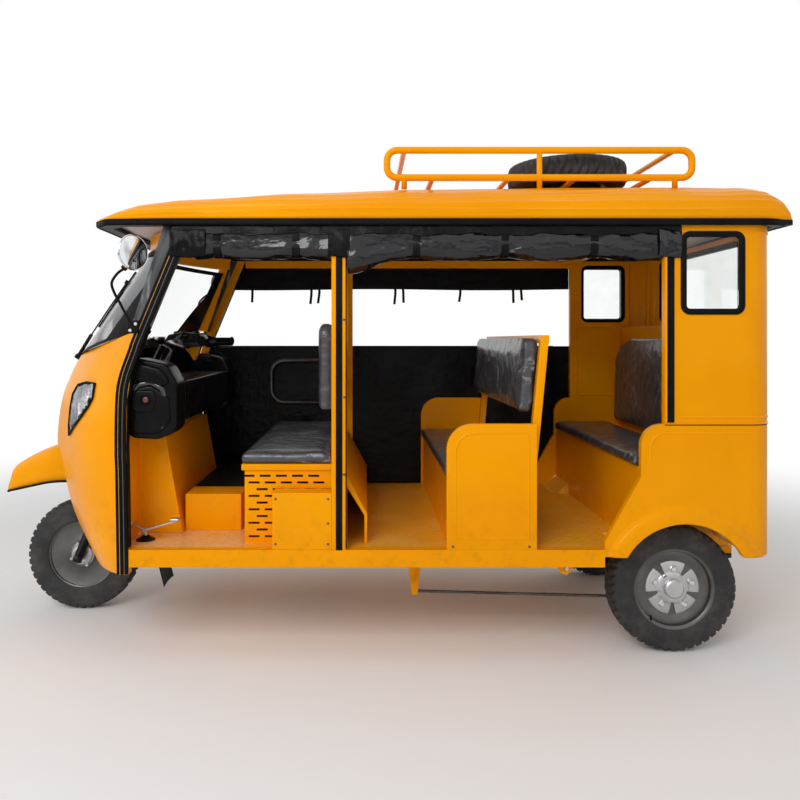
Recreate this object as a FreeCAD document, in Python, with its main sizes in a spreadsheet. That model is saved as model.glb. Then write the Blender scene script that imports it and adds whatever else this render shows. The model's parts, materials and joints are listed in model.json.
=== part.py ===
import FreeCAD, Part
import Sketcher
import math
import os
from types import SimpleNamespace
from FreeCAD import Placement, Rotation, Vector

# A three-wheeled passenger auto rickshaw, in millimetres. The front looks along -X,
# the vehicle's left side is -Y, +Z is up, and the tyres stand on z = 0.
drivingSizes = {
    # wheels and tyres
    "wheelbase": 2590,
    "front_axle_x": -1320,
    "tyre_radius": 260,
    "tyre_half_width": 56,
    "tread_half_width": 42,
    "bead_radius": 156,
    "rim_half_width": 48,
    "rim_wall": 5,
    "rim_lip_radius": 171,
    "rim_disc_offset": 12,
    "hub_radius": 62,
    "hub_plate_radius": 107,
    "hub_cap_radius": 36,
    "drum_radius": 104,
    "drum_depth": 46,
    "axle_pin_radius": 15,
    "running_fit": 0.05,
    "seat_gap": 0.3,
    # body envelope
    "body_half_width": 650,
    "rear_overhang": 345,
    "roof_side_lip": 18,
    "roof_rear_lip": 57,
    "panel": 25,
    "sheet": 12,
    "thin_wall": 6,
    "floor_top": 457,
    "sill_bottom": 390,
    "sill_width": 40,
    "sill_front_x": -907,
    "body_bottom": 430,
    "rail_width": 50,
    "rail_height": 60,
    "rail_front_x": -860,
    "cross_width": 50,
    # steering
    "rake_angle": 22.3,
    "fork_spacing": 86,
    "fork_leg_radius": 21,
    "fork_length": 600,
    "yoke_depth": 62,
    "yoke_thickness": 26,
    "steerer_radius": 20,
    "steerer_length": 470,
    "head_tube_radius": 31,
    "head_tube_length": 190,
    "head_tube_start": 642,
    "bar_radius": 11,
    "bar_rise_x": 130,
    "bar_end_x": -690,
    "grip_radius": 17,
    "grip_length": 118,
    "lever_radius": 6,
    "meter_radius": 48,
    "meter_depth": 50,
    # front mudguard
    "guard_half_width": 125,
    "guard_tip_half": 52,
    "guard_wall": 4,
    "guard_tip_x": -1674,
    "guard_tip_z": 560,
    "guard_length": 702,
    "guard_height": 232,
    "flap_length": 250,
    "flap_half_width": 80,
    # nose
    "nose_wall": 8,
    "nose_front_x": -1435,
    "nose_side_x": -955,
    "nose_bottom": 350,
    "nose_top": 1204,
    "nose_deck": 12,
    "nose_bay_top": 806,
    "nose_bay_round": 140,
    "deck_edge_x": -1090,
    # windshield
    "glass": 6,
    "shield_bottom_x": -1285,
    "shield_corner_x": -925,
    "shield_corner_z": 1305,
    "shield_top_x": -990,
    "shield_top_z": 1644,
    "shield_top_corner_x": -785,
    "shield_top_corner_z": 1628,
    "seal_width": 14,
    "seal_depth": 14,
    # pillars and roof
    "pillar_depth": 35,
    "jamb_width": 45,
    "pillar_b_front_x": -115,
    "pillar_b_width": 60,
    "cantrail": 40,
    "cantrail_front_x": -735,
    "ring_height": 20,
    "ring_width": 25,
    "lining_sheet": 4,
    "roof_edge_z": 1736,
    "roof_front_x": -1045,
    "roof_rise": 196,
    "roof_wall": 8,
    # roof rack and spare wheel
    "rack_tube": 14,
    "rack_front_x": 105,
    "rack_low_z": 1934,
    "rack_high_z": 2046,
    "rack_bend": 70,
    "spare_y": -190,
    # quarter panels
    "belt_z": 945,
    "corner_radius": 100,
    "window_length": 236,
    "window_bottom": 1376,
    "window_height": 310,
    "window_round": 30,
    "window_frame": 14,
    "quarter_round": 85,
    "quarter_knee_z": 740,
    "arch_radius": 262,
    "arch_centre_z": 300,
    "flare_width": 42,
    "flare_stand": 10,
    "housing_radius": 302,
    # cabin front
    "bulkhead_x": -945,
    "column_top": 878,
    "column_front_x": -958,
    "column_rear_top_x": -830,
    "column_rear_low_x": -754,
    "step_rear_x": -515,
    "step_top": 612,
    "dash_front_x": -925,
    "dash_rear_x": -725,
    "dash_top": 1105,
    "dash_pod_top": 1255,
    "dash_round": 62,
    # driver's row
    "driver_front_x": -480,
    "driver_rear_x": -113,
    "tray_top": 774,
    "tray_thickness": 25,
    "kick_rear_x": 24,
    "kick_knee_z": 575,
    "slot_length": 44,
    "slot_height": 9,
    "slot_pitch_x": 65,
    "slot_pitch_z": 27,
    "cushion": 46,
    "back_pad": 55,
    "driver_back_low": 980,
    "driver_back_high": 1350,
    "rail_low_z": 1040,
    "rail_high_z": 1270,
    "battery_front_x": -345,
    "battery_top": 678,
    "battery_depth": 90,
    "guard_rail_radius": 12,
    "guard_rail_length": 400,
    "guard_rail_low": 918,
    "guard_rail_high": 1154,
    "guard_rail_bend": 75,
    # middle bench
    "middle_round": 100,
    "middle_seat_z": 727,
    "middle_lean": 54,
    "middle_back_top": 1290,
    "middle_back_low": 975,
    "post_width": 32,
    # rear bench
    "rear_seat_z": 770,
    "rear_back_top": 1340,
    "rear_overhang_pad": 28,
    # curtains
    "roll_radius": 44,
    "roll_drop": 4,
    "sheet_cloth": 4,
    "far_sheet_top": 1240,
    "far_band_bottom": 1555,
    # running gear
    "axle_tube_radius": 32,
    "diff_radius": 105,
    "spring_half_length": 333,
    "spring_width": 44,
    "spring_leaf": 10,
    "spring_arch": 26,
    "shaft_radius": 22,
    "shaft_front_x": -122,
    "engine_length": 330,
    "engine_half_width": 150,
    "engine_bottom": 300,
    "engine_top": 690,
    "silencer_radius": 62,
    "silencer_length": 430,
    "silencer_y": 180,
    "crank_x": 224,
    "rod_radius": 6,
    # how far in from the body's half width each half width ends
    "track_inset": 180,
    "column_inset": 250,
    "dash_pod_inset": 195,
    "tray_inset": 90,
    "cover_inset": 100,
    "cushion_inset": 80,
    "driver_back_inset": 110,
    "seat_inset": 50,
    "step_inset": 290,
    "nose_bay_inset": 320,
    "deck_inner_inset": 198,
    "shield_bottom_inset": 102,
    "shield_top_inset": 132,
    "rack_inset": 150,
    "back_window_inset": 250,
    "rail_gap_inset": 375,
    "tail_inset": 210,
    "bar_end_inset": 305,
    "bar_mid_inset": 435,
    "housing_inset": 265,
    "crank_inset": 255,
    "mirror_reach": 98,
    # places along the body, measured from the rear axle
    "sill_ahead": 325,
    "quarter_ahead": 185,
    "rear_seat_ahead": 175,
    "pillar_c_ahead": 95,
    "rear_back_behind": 190,
    "window_behind_pillar": 69,
    "rack_rear_inset": 265,
    "spare_ahead": 427,
    "middle_depth": 350,
    "bar_stand": 8,
    # lamps, mirrors and small pieces
    "lamp_front_x": -1250,
    "lamp_length": 175,
    "lamp_bottom": 872,
    "lamp_height": 227,
    "lamp_stand": 6,
    "lamp_depth": 34,
    "tail_width": 84,
    "tail_bottom": 700,
    "tail_height": 170,
    "tail_depth": 24,
    "mirror_radius": 68,
    "mirror_depth": 20,
    "mirror_x": -862,
    "mirror_z": 1598,
    "mirror_arm": 6,
    "wiper_radius": 5,
    "wiper_stand": 22,
    "pedal_width": 60,
    "overrun": 60,
}

doc = FreeCAD.newDocument("auto_rickshaw")
sheet = doc.addObject("Spreadsheet::Sheet", "sizes")
for row, (alias, value) in enumerate(drivingSizes.items(), start=1):
    sheet.set("A%d" % row, alias)
    sheet.set("B%d" % row, str(value))
    sheet.setAlias("B%d" % row, alias)
doc.recompute()


class Length:
    """A size with its value and the spreadsheet formula that gives it."""

    def __init__(self, value, formula):
        self.value = float(value)
        self.formula = formula

    def __float__(self):
        return self.value

    def __neg__(self):
        return Length(-self.value, "-(%s)" % self.formula)

    def __add__(self, other):
        return Length(self.value + float(other), "(%s + %s)" % (self.formula, wording(other)))

    def __radd__(self, other):
        return self + other

    def __sub__(self, other):
        return Length(self.value - float(other), "(%s - %s)" % (self.formula, wording(other)))

    def __rsub__(self, other):
        return -self + other

    def __mul__(self, factor):
        return Length(self.value * float(factor), "(%s * %s)" % (self.formula, wording(factor)))

    def __rmul__(self, factor):
        return self * factor

    def __truediv__(self, divisor):
        return Length(self.value / float(divisor), "(%s / %s)" % (self.formula, wording(divisor)))


def wording(number):
    return number.formula if isinstance(number, Length) else "%.9g" % number


s = SimpleNamespace(**{alias: Length(sheet.get(alias), "sizes." + alias) for alias in drivingSizes})
nodes = []

# Widths follow the body's half width, and places along the body follow the rear axle.
for part in ("track", "column", "dash_pod", "tray", "cover", "cushion", "driver_back", "seat", "step",
             "nose_bay", "deck_inner",
             "shield_bottom", "shield_top", "rack", "back_window", "rail_gap", "tail", "bar_end", "bar_mid",
             "housing", "crank"):
    setattr(s, part + "_half", s.body_half_width - getattr(s, part + "_inset"))
s.roof_half_width = s.body_half_width + s.roof_side_lip
s.mirror_half = s.body_half_width + s.mirror_reach
rearAxleX = s.front_axle_x + s.wheelbase
s.body_rear_x = rearAxleX + s.rear_overhang
s.roof_rear_x = s.body_rear_x + s.roof_rear_lip
s.sill_rear_x = rearAxleX - s.sill_ahead
s.quarter_low_x = rearAxleX - s.quarter_ahead
s.rear_seat_x = rearAxleX - s.rear_seat_ahead
s.pillar_c_front_x = rearAxleX - s.pillar_c_ahead
s.rear_back_x = rearAxleX + s.rear_back_behind
s.window_front_x = s.pillar_c_front_x + s.window_behind_pillar
s.rack_rear_x = s.body_rear_x - s.rack_rear_inset
s.spare_x = s.rack_rear_x - s.spare_ahead
middleShare = 0.3465
s.middle_front_x = s.pillar_b_front_x + (s.pillar_c_front_x - s.pillar_b_front_x) * middleShare
s.middle_rear_x = s.middle_front_x + s.middle_depth


def bind(thing, target, size):
    """Tie one property to the sheet."""
    thing.setExpression(target, wording(size))


def point(x, y, z):
    return Vector(float(x), float(y), float(z))


def node(thing, label):
    """Keep this object as a sub-part that is written out under its label."""
    thing.Label = label
    nodes.append(thing)
    return thing


def place(thing, x=0, y=0, z=0):
    for axis, size in zip("xyz", (x, y, z)):
        bind(thing, ".Placement.Base." + axis, size)
    return thing


def block(x, y, z):
    """A box between two sizes on each axis."""
    box = doc.addObject("Part::Box", "block")
    for side, (low, high) in zip(("Length", "Width", "Height"), (x, y, z)):
        bind(box, side, high - low)
    return place(box, x[0], y[0], z[0])


def roundedBlock(x, y, z, along, radius):
    """A box whose four edges along one axis are rounded."""
    size = [float(high - low) for low, high in (x, y, z)]
    box = Part.makeBox(*size, point(x[0], y[0], z[0]))
    axis = "xyz".index(along)
    edges = []
    for edge in box.Edges:
        start, end = [vertex.Point for vertex in edge.Vertexes]
        if abs(start[axis] - end[axis]) > float(s.seat_gap):
            edges.append(edge)
    return shaped(box.makeFillet(float(radius), edges), "rounded_block")


def rod(radius, length, x=0, y=0, z=0, along="z"):
    """A cylinder that starts at a point and runs along one axis."""
    cylinder = doc.addObject("Part::Cylinder", "rod")
    turns = {"x": Rotation(Vector(0, 1, 0), 90), "y": Rotation(Vector(1, 0, 0), -90), "z": Rotation()}
    cylinder.Placement = Placement(Vector(), turns[along])
    bind(cylinder, "Radius", radius)
    bind(cylinder, "Height", length)
    return place(cylinder, x, y, z)


def fused(parts, name="fused"):
    joined = doc.addObject("Part::MultiFuse", name)
    joined.Shapes = parts
    joined.Refine = True
    return joined


def cutAway(base, tool, name="cut"):
    cut = doc.addObject("Part::Cut", name)
    cut.Base = base
    cut.Tool = tool
    return cut


def mirrored(source):
    """The same piece on the other side of the centre plane."""
    copy = doc.addObject("Part::Mirroring", "mirrored")
    copy.Source = source
    copy.Normal = Vector(0, 1, 0)
    return copy


def pair(source):
    return fused([source, mirrored(source)], "pair")


def shaped(shape, name="shaped"):
    feature = doc.addObject("Part::Feature", name)
    feature.Shape = shape
    return feature


def newSketch(body, role):
    """A sketch on one of the body's own origin planes."""
    sketch = body.newObject("Sketcher::SketchObject", "outline")
    plane = next(plane for plane in body.Origin.OriginFeatures if plane.Role == role)
    sketch.AttachmentSupport = [(plane, "")]
    sketch.MapMode = "FlatFace"
    return sketch


def tie(sketch, kind, *rest):
    """Add one dimension, whose last entry is its size, and tie it to the sheet."""
    index = sketch.addConstraint(Sketcher.Constraint(kind, *rest[:-1], float(rest[-1])))
    bind(sketch, "Constraints[%d]" % index, rest[-1])


def polygonSketch(body, role, corners):
    """A closed outline whose every corner is tied to the sheet by two distances."""
    sketch = newSketch(body, role)
    points = [point(u, v, 0) for u, v in corners]
    count = len(points)
    for index in range(count):
        sketch.addGeometry(Part.LineSegment(points[index], points[(index + 1) % count]), False)
    for index in range(count):
        sketch.addConstraint(Sketcher.Constraint("Coincident", index, 2, (index + 1) % count, 1))
    for index, (u, v) in enumerate(corners):
        tie(sketch, "DistanceX", -1, 1, index, 1, u)
        tie(sketch, "DistanceY", -1, 1, index, 1, v)
    return sketch


def roundedCorners(body, corners, radius):
    """Round the corners of an upright panel by one radius."""
    doc.recompute()
    names = []
    for index, edge in enumerate(body.Tip.Shape.Edges, start=1):
        ends = [vertex.Point for vertex in edge.Vertexes]
        for u, v in corners:
            if all(math.hypot(end.x - float(u), end.z - float(v)) < float(s.seat_gap) for end in ends):
                names.append("Edge%d" % index)
    fillet = body.newObject("PartDesign::Fillet", "rounding")
    fillet.Base = (body.Group[-2], sorted(set(names)))
    bind(fillet, "Radius", radius)


def turned(profile):
    """A body turned about its own Y axis from (radius, distance along the axis) corners."""
    body = doc.addObject("PartDesign::Body", "turned")
    sketch = polygonSketch(body, "XY_Plane", profile)
    turn = body.newObject("PartDesign::Revolution", "turn")
    turn.Profile = sketch
    turn.ReferenceAxis = (sketch, ["V_Axis"])
    turn.Angle = 360
    return body


def sidePanel(corners, outer, thickness, rounds=(), radius=0):
    """A flat upright panel from (x, z) corners, with its outer face at y = -outer."""
    body = doc.addObject("PartDesign::Body", "panel")
    sketch = polygonSketch(body, "XZ_Plane", corners)
    pad = body.newObject("PartDesign::Pad", "pad")
    pad.Profile = sketch
    bind(pad, "Length", thickness)
    if rounds:
        roundedCorners(body, rounds, radius)
    return place(body, 0, thickness - outer, 0)


def prism(corners, low, high):
    """A plain shape from (x, z) corners between two values of y."""
    loop = [point(x, low, z) for x, z in corners]
    face = Part.Face(Part.makePolygon(loop + loop[:1]))
    return face.extrude(point(0, high - low, 0))


def roundedPath(points, bend):
    """Straight runs through the points, joined by tangent arcs."""
    edges = []
    start = points[0]
    for corner, after in zip(points[1:-1], points[2:]):
        back = (start - corner).normalize()
        ahead = (after - corner).normalize()
        half = back.getAngle(ahead) / 2
        first = corner + back * (bend / math.tan(half))
        last = corner + ahead * (bend / math.tan(half))
        centre = corner + (back + ahead).normalize() * (bend / math.sin(half))
        middle = centre + (corner - centre).normalize() * bend
        edges.append(Part.LineSegment(start, first).toShape())
        edges.append(Part.Arc(first, middle, last).toShape())
        start = last
    edges.append(Part.LineSegment(start, points[-1]).toShape())
    return Part.Wire(edges)


def tube(points, radius, bend):
    """A round bar along the points."""
    path = roundedPath(points, float(bend))
    ring = Part.Circle(points[0], points[1] - points[0], float(radius)).toShape()
    return path.makePipeShell([Part.Wire(ring)], True, False)


def mirroredShape(shape):
    return shape.mirror(Vector(), Vector(0, 1, 0))


# The wheels turn about Y. Each has a tyre and a rim with its hub, made round the origin first.
lean = Length(math.sin(math.radians(float(s.rake_angle))), "sin(sizes.rake_angle * 1 deg)")
rise = Length(math.cos(math.radians(float(s.rake_angle))), "cos(sizes.rake_angle * 1 deg)")
bulgeShare, shoulderShare = 0.42, 0.8


def makeTyre():
    side = s.tyre_radius - s.bead_radius
    bulge = s.bead_radius + side * bulgeShare
    shoulder = s.bead_radius + side * shoulderShare
    return turned([
        (s.bead_radius, -s.rim_half_width + s.rim_wall), (bulge, -s.tyre_half_width),
        (shoulder, -s.tyre_half_width + s.rim_wall), (s.tyre_radius - s.rim_wall, -s.tread_half_width),
        (s.tyre_radius, -s.tread_half_width / 2), (s.tyre_radius, s.tread_half_width / 2),
        (s.tyre_radius - s.rim_wall, s.tread_half_width), (shoulder, s.tyre_half_width - s.rim_wall),
        (bulge, s.tyre_half_width), (s.bead_radius, s.rim_half_width - s.rim_wall)])


def makeRim(hubInner, hubOuter, hubRadius, pinRadius):
    """A rolled rim with a dished disc, on a hub whose bore runs on its pin. Outer side is -Y."""
    seat = s.bead_radius - s.seat_gap
    well = seat - s.rim_wall
    face = -s.rim_disc_offset
    bore = pinRadius + s.running_fit
    return turned([
        (bore, hubOuter), (hubRadius, hubOuter), (hubRadius, face - s.rim_wall), (well, face - s.rim_wall),
        (well, -s.rim_half_width + s.rim_wall), (s.rim_lip_radius, -s.rim_half_width - s.rim_wall),
        (s.rim_lip_radius, -s.rim_half_width), (seat, -s.rim_half_width + s.rim_wall),
        (seat, s.rim_half_width - s.rim_wall), (s.rim_lip_radius, s.rim_half_width),
        (s.rim_lip_radius, s.rim_half_width + s.rim_wall), (well, s.rim_half_width - s.rim_wall),
        (well, face + s.rim_wall), (hubRadius + s.rim_wall, face + s.rim_wall),
        (hubRadius + s.rim_wall, hubInner), (bore, hubInner)])


node(place(makeTyre(), s.front_axle_x, 0, s.tyre_radius), "front_tyre")
frontRim = makeRim(s.tyre_half_width, -s.tyre_half_width, s.hub_radius, s.axle_pin_radius)
node(place(frontRim, s.front_axle_x, 0, s.tyre_radius), "front_rim")

lobeCount = 5


def makeRearRim():
    """The driven wheel's rim, with the lobed hub plate and the drum behind it."""
    rim = makeRim(s.drum_depth, -s.tyre_half_width, s.hub_cap_radius, s.axle_pin_radius)
    face = -s.rim_disc_offset - s.rim_wall
    plate = rod(s.hub_radius, s.rim_wall * 2, 0, face - s.rim_wall * 2, 0, "y")
    lobes = []
    for lobe in range(lobeCount):
        turn = math.radians(360 * lobe / lobeCount)
        reach = s.hub_plate_radius - s.hub_cap_radius
        lobes.append(rod(s.hub_cap_radius, s.rim_wall * 2, reach * math.sin(turn), face - s.rim_wall * 2,
                         reach * math.cos(turn), "y"))
    drum = turned([(s.axle_pin_radius + s.running_fit, -s.rim_disc_offset),
                   (s.drum_radius, -s.rim_disc_offset),
                   (s.drum_radius, s.drum_depth), (s.axle_pin_radius + s.running_fit, s.drum_depth)])
    holes = rod(s.axle_pin_radius + s.running_fit, s.body_half_width, 0, -s.body_half_width / 2, 0, "y")
    return cutAway(fused([rim, plate, drum] + lobes, "rear_rim"), holes)


for name, side in (("rear_left", -1), ("rear_right", 1)):
    node(place(makeTyre(), rearAxleX, s.track_half * side, s.tyre_radius), name + "_tyre")
    rim = makeRearRim()
    if side > 0:
        rim = mirrored(rim)
    node(place(rim, rearAxleX, s.track_half * side, s.tyre_radius), name + "_rim")

# Steering: the fork, its yokes and the steerer lie along one raked axis through the front axle.


def onAxis(reach, y=0):
    return (s.front_axle_x + reach * lean, y, s.tyre_radius + reach * rise)


def rakedRod(radius, start, length, y=0):
    bar = rod(radius, length)
    bar.Placement = Placement(Vector(), Rotation(Vector(0, 1, 0), float(s.rake_angle)))
    return place(bar, *onAxis(start, y))


def rakedBlock(depth, width, start, thickness):
    plate = block((0 * depth, depth), (0 * width, width), (0 * thickness, thickness))
    plate.Placement = Placement(Vector(), Rotation(Vector(0, 1, 0), float(s.rake_angle)))
    x, y, z = onAxis(start, -width / 2)
    return place(plate, x - depth / 2 * rise, y, z + depth / 2 * lean)


yokeWidth = (s.fork_spacing + s.fork_leg_radius) * 2
legs = [rakedRod(s.fork_leg_radius, -s.fork_leg_radius, s.fork_length + s.fork_leg_radius,
                 s.fork_spacing * side)
        for side in (-1, 1)]
yoke = rakedBlock(s.yoke_depth, yokeWidth, s.fork_length, s.yoke_thickness)
steerer = rakedRod(s.steerer_radius, s.fork_length, s.steerer_length)
pinHalf = s.fork_spacing + s.fork_leg_radius * 1.5
axlePin = rod(s.axle_pin_radius, pinHalf * 2, s.front_axle_x, -pinHalf, s.tyre_radius, "y")
node(fused(legs + [yoke, steerer, axlePin], "front_fork"), "front_fork")

barTop = onAxis(s.fork_length + s.steerer_length)
barHeight = barTop[2] + s.bar_stand
steererTool = rakedRod(s.steerer_radius, s.fork_length, s.steerer_length)
barPoints = [
    point(s.bar_end_x, -s.bar_end_half, barHeight),
    point(s.bar_end_x - s.bar_rise_x, -s.bar_mid_half, barHeight),
    point(barTop[0], -s.mirror_radius, barHeight), point(barTop[0], s.mirror_radius, barHeight),
    point(s.bar_end_x - s.bar_rise_x, s.bar_mid_half, barHeight),
    point(s.bar_end_x, s.bar_end_half, barHeight)]
barShape = tube(barPoints, s.bar_radius, s.bar_radius * 4)
clampHigh = barHeight + s.bar_radius * 1.5
clamp = rod(s.steerer_radius * 1.3, clampHigh - barTop[2], barTop[0], 0, barTop[2])
handlebar = [clamp, shaped(barShape, "handlebar_tube")]
for side in (-1, 1):
    end = point(s.bar_end_x, s.bar_end_half * side, barHeight)
    inner = point(s.bar_end_x - s.bar_rise_x, s.bar_mid_half * side, barHeight)
    inward = (inner - end).normalize()
    outer = end - inward * float(s.rim_wall)
    grip = Part.makeCylinder(float(s.grip_radius), float(s.grip_length), outer, inward)
    pod = Part.makeCylinder(float(s.grip_radius * 1.5), float(s.grip_radius * 2),
                            outer + inward * float(s.grip_length), inward)
    root = outer + inward * float(s.grip_length + s.grip_radius) + Vector(-float(s.grip_radius), 0, 0)
    tip = end + Vector(-float(s.grip_radius * 4), 0, -float(s.grip_radius))
    lever = Part.makeCylinder(float(s.lever_radius), (tip - root).Length, root, tip - root)
    handlebar.append(shaped(grip.fuse([pod, lever]).removeSplitter(), "grip"))
node(cutAway(fused(handlebar, "bar_parts"), steererTool), "handlebar")

meterX = barTop[0] - s.meter_radius * 1.6
meter = rod(s.meter_radius, s.meter_depth, meterX, 0, barHeight - s.meter_depth / 2)
bracket = block((meterX, barTop[0]), (-s.bar_radius, s.bar_radius),
                (barHeight - s.meter_depth / 2 - s.lever_radius * 2, barHeight - s.meter_depth / 2))
meterCut = cutAway(cutAway(bracket,
                           rod(s.steerer_radius * 1.3, s.meter_depth * 2, barTop[0], 0,
                               barHeight - s.meter_depth)),
                   steererTool)
node(fused([meter, meterCut], "instrument_cluster"), "instrument_cluster")

# The front mudguard is a thin hood with a beak, open below, with the fork legs through its top.
guardTopShares = ((0, 0), (0.025, 0.28), (0.06, 0.52), (0.33, 0.93), (0.45, 1), (0.6, 0.93), (0.74, 0.70),
                  (0.88, 0.28), (0.96, -0.30), (0.985, -0.85))
guardSkirtShares = ((0.955, -0.85), (0.87, -0.25), (0.76, 0.10), (0.6, 0.26), (0.36, 0.27))


def guardCorner(shares, inset=0):
    along, up = shares
    return (s.guard_tip_x + s.guard_length * along + inset * (1 - 2 * along),
            s.guard_tip_z + s.guard_height * up - inset)


def planTaper(half, tipHalf, low):
    """The hood's plan: narrow at the beak and full width from above the wheel."""
    rear = s.guard_tip_x + s.guard_length + s.overrun
    full = s.guard_tip_x + s.guard_length / 3
    tip = s.guard_tip_x - s.overrun
    loop = [point(tip, -tipHalf, low), point(s.guard_tip_x, -tipHalf, low), point(full, -half, low),
            point(rear, -half, low),
            point(rear, half, low), point(full, half, low), point(s.guard_tip_x, tipHalf, low),
            point(tip, tipHalf, low)]
    return Part.Face(Part.makePolygon(loop + loop[:1])).extrude(point(0, 0, barHeight))


hoodOuter = prism([guardCorner(c) for c in guardTopShares + guardSkirtShares], -s.guard_half_width,
                  s.guard_half_width)
hoodOuter = hoodOuter.common(planTaper(s.guard_half_width, s.guard_tip_half, 0))
innerHalf = s.guard_half_width - s.guard_wall
lowEnds = [(s.guard_tip_x + s.guard_length, 0), (s.guard_tip_x + s.guard_wall, 0)]
hoodInner = prism([guardCorner(c, s.guard_wall) for c in guardTopShares] + lowEnds, -innerHalf, innerHalf)
hoodInner = hoodInner.common(planTaper(innerHalf, s.guard_tip_half - s.guard_wall, 0))
hood = hoodOuter.cut(hoodInner)
for side in (-1, 1):
    hole = Part.makeCylinder(float(s.fork_leg_radius + s.seat_gap), float(s.fork_length * 2),
                             point(*onAxis(-s.fork_length, s.fork_spacing * side)), point(lean, 0, rise))
    hood = hood.cut(hole)
flapTop = guardCorner(guardTopShares[-1])
flapShift = s.flap_length / 4
flap = prism([(flapTop[0] - s.guard_wall, flapTop[1]), (flapTop[0], flapTop[1]),
              (flapTop[0] + flapShift, flapTop[1] - s.flap_length),
              (flapTop[0] + flapShift - s.guard_wall, flapTop[1] - s.flap_length)],
             -s.flap_half_width, s.flap_half_width)
node(shaped(hood.fuse(flap), "front_mudguard"), "front_mudguard")

# The jamb line: where the nose ends and the front pillar stands, as shares of its height and lean.
jambShares = ((0, 0.035), (0.27, 0.012), (0.36, 0), (0.5, 0.012), (0.566, 0.067), (0.643, 0.213),
              (0.68, 0.285),
              (0.912, 0.803), (1, 1))
pillarTop = s.roof_edge_z - s.ring_height
jambLean = s.cantrail_front_x - s.bulkhead_x + s.cantrail


def jambEdge(offset):
    foremost = s.nose_side_x + s.jamb_width / 2
    return [(foremost + jambLean * leaning + offset,
             s.nose_bottom + s.sheet + (pillarTop - s.nose_bottom - s.sheet) * up)
            for up, leaning in jambShares]


# The nose: level sections of a rounded plan, cut open for the wheel, the lamps and the cabin.
noseLowShares = ((0, 0), (0.08, 0.31), (0.26, 0.55), (0.5, 0.8), (0.8, 0.96), (1, 1))
noseHighShares = ((0, 0), (0.08, 0.42), (0.26, 0.62), (0.5, 0.79), (0.8, 0.925), (1, 0.985))
noseLevelShares = ((0, 0.667, 0, 0.985), (0.25, 0.13, 0, 1), (0.455, 0, 0, 1), (0.606, 0.044, 0, 0.997),
                   (0.737, 0.204, 0.3, 0.985), (0.859, 0.548, 0.8, 0.965), (1, 1, 1, 0.95))


def noseSolid(grow, rear):
    sections = []
    height = s.shield_corner_z + s.panel - s.nose_bottom
    for up, back, blend, wide in noseLevelShares:
        front = s.nose_front_x + (s.shield_bottom_x - s.nose_front_x) * 1.8 * back - grow
        half = s.body_half_width * wide + grow
        z = s.nose_bottom + height * up
        left = []
        for low, high in zip(noseLowShares, noseHighShares):
            along = low[0] + (high[0] - low[0]) * blend
            across = low[1] + (high[1] - low[1]) * blend
            left.append(point(front + (s.mirror_x - front) * along, -half * across, z))
        right = [Vector(spot.x, -spot.y, spot.z) for spot in left[1:]]
        curve = Part.BSplineCurve()
        curve.interpolate(list(reversed(left)) + right)
        ends = [left[-1], point(rear, left[-1].y, z), point(rear, -left[-1].y, z), right[-1]]
        back = [Part.LineSegment(a, b).toShape() for a, b in zip(ends, ends[1:])]
        sections.append(Part.Wire([curve.toShape()] + list(reversed(back))))
    return Part.makeLoft(sections, True, False)


shieldRise = float(s.shield_corner_z - s.nose_top)
shieldSlope = shieldRise / float(s.shield_corner_x - s.shield_bottom_x)
shieldUp = (point(s.shield_top_x, 0, s.shield_top_z) - point(s.shield_bottom_x, 0, s.nose_top)).normalize()
sealDrop = s.seal_width * (shieldUp.z - shieldUp.x * shieldSlope) + s.seat_gap


def aboveDeck(drop):
    """What lies above the slanting top of the nose, lowered by a drop."""
    front, rear = s.nose_front_x - s.overrun * 4, s.cantrail_front_x
    low = s.nose_top - sealDrop - drop
    return prism([(front, low + (front - s.shield_bottom_x) * shieldSlope),
                  (rear, low + (rear - s.shield_bottom_x) * shieldSlope),
                  (rear, s.roof_edge_z), (front, s.roof_edge_z)], -s.body_half_width * 2,
                 s.body_half_width * 2)


lampShares = ((0, 0.17), (0.02, 0.5), (0.08, 0.76), (0.3, 0.94), (0.68, 1), (1, 0.99), (0.98, 0.74),
              (0.86, 0.585),
              (0.63, 0.4), (0.22, 0.13), (0.04, 0))
lampLoop = [(s.lamp_front_x + s.lamp_length * along, s.lamp_bottom + s.lamp_height * up) for along,
            up in lampShares]
lampPrism = prism(lampLoop, -s.body_half_width - s.overrun, -s.fork_spacing)
rearward = s.mirror_x + s.sheet
noseOuter = noseSolid(0, rearward)
noseInner = noseSolid(-s.nose_wall, rearward + s.overrun)
nose = noseOuter.cut(aboveDeck(0)).cut(noseInner.cut(aboveDeck(s.nose_deck)))
deckHole = Part.makeBox(float(s.overrun * 10), float(s.deck_inner_half * 2), float(s.overrun * 6),
                        point(s.deck_edge_x, -s.deck_inner_half, s.shield_bottom_half * 2))
bay = Part.makeBox(float(s.overrun * 10), float(s.nose_bay_half * 2), float(s.nose_bay_top),
                   point(s.nose_front_x - s.overrun, -s.nose_bay_half, 0))
bay = bay.makeFillet(float(s.nose_bay_round), [edge for edge in bay.Edges if all(
    vertex.Z > float(s.nose_bay_top) - float(s.seat_gap) for vertex in edge.Vertexes) and abs(
        edge.Vertexes[0].Y - edge.Vertexes[1].Y) < float(s.seat_gap)])
chinX = s.nose_front_x + s.body_half_width * 0.46
chinTop = s.nose_bottom + s.body_half_width * 0.69
chin = prism([(s.nose_front_x - s.overrun * 3, chinTop), (chinX, s.nose_bottom - s.seat_gap), (chinX, 0),
              (s.nose_front_x - s.overrun * 3, 0)], -s.body_half_width * 2, s.body_half_width * 2)
jambBehind = prism(jambEdge(-s.jamb_width / 2) + [(s.driver_front_x, pillarTop),
                                                  (s.driver_front_x, s.nose_bottom - s.overrun)]
                   + [(jambEdge(-s.jamb_width / 2)[0][0], s.nose_bottom - s.overrun)],
                   -s.body_half_width * 2, s.body_half_width * 2)
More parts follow.
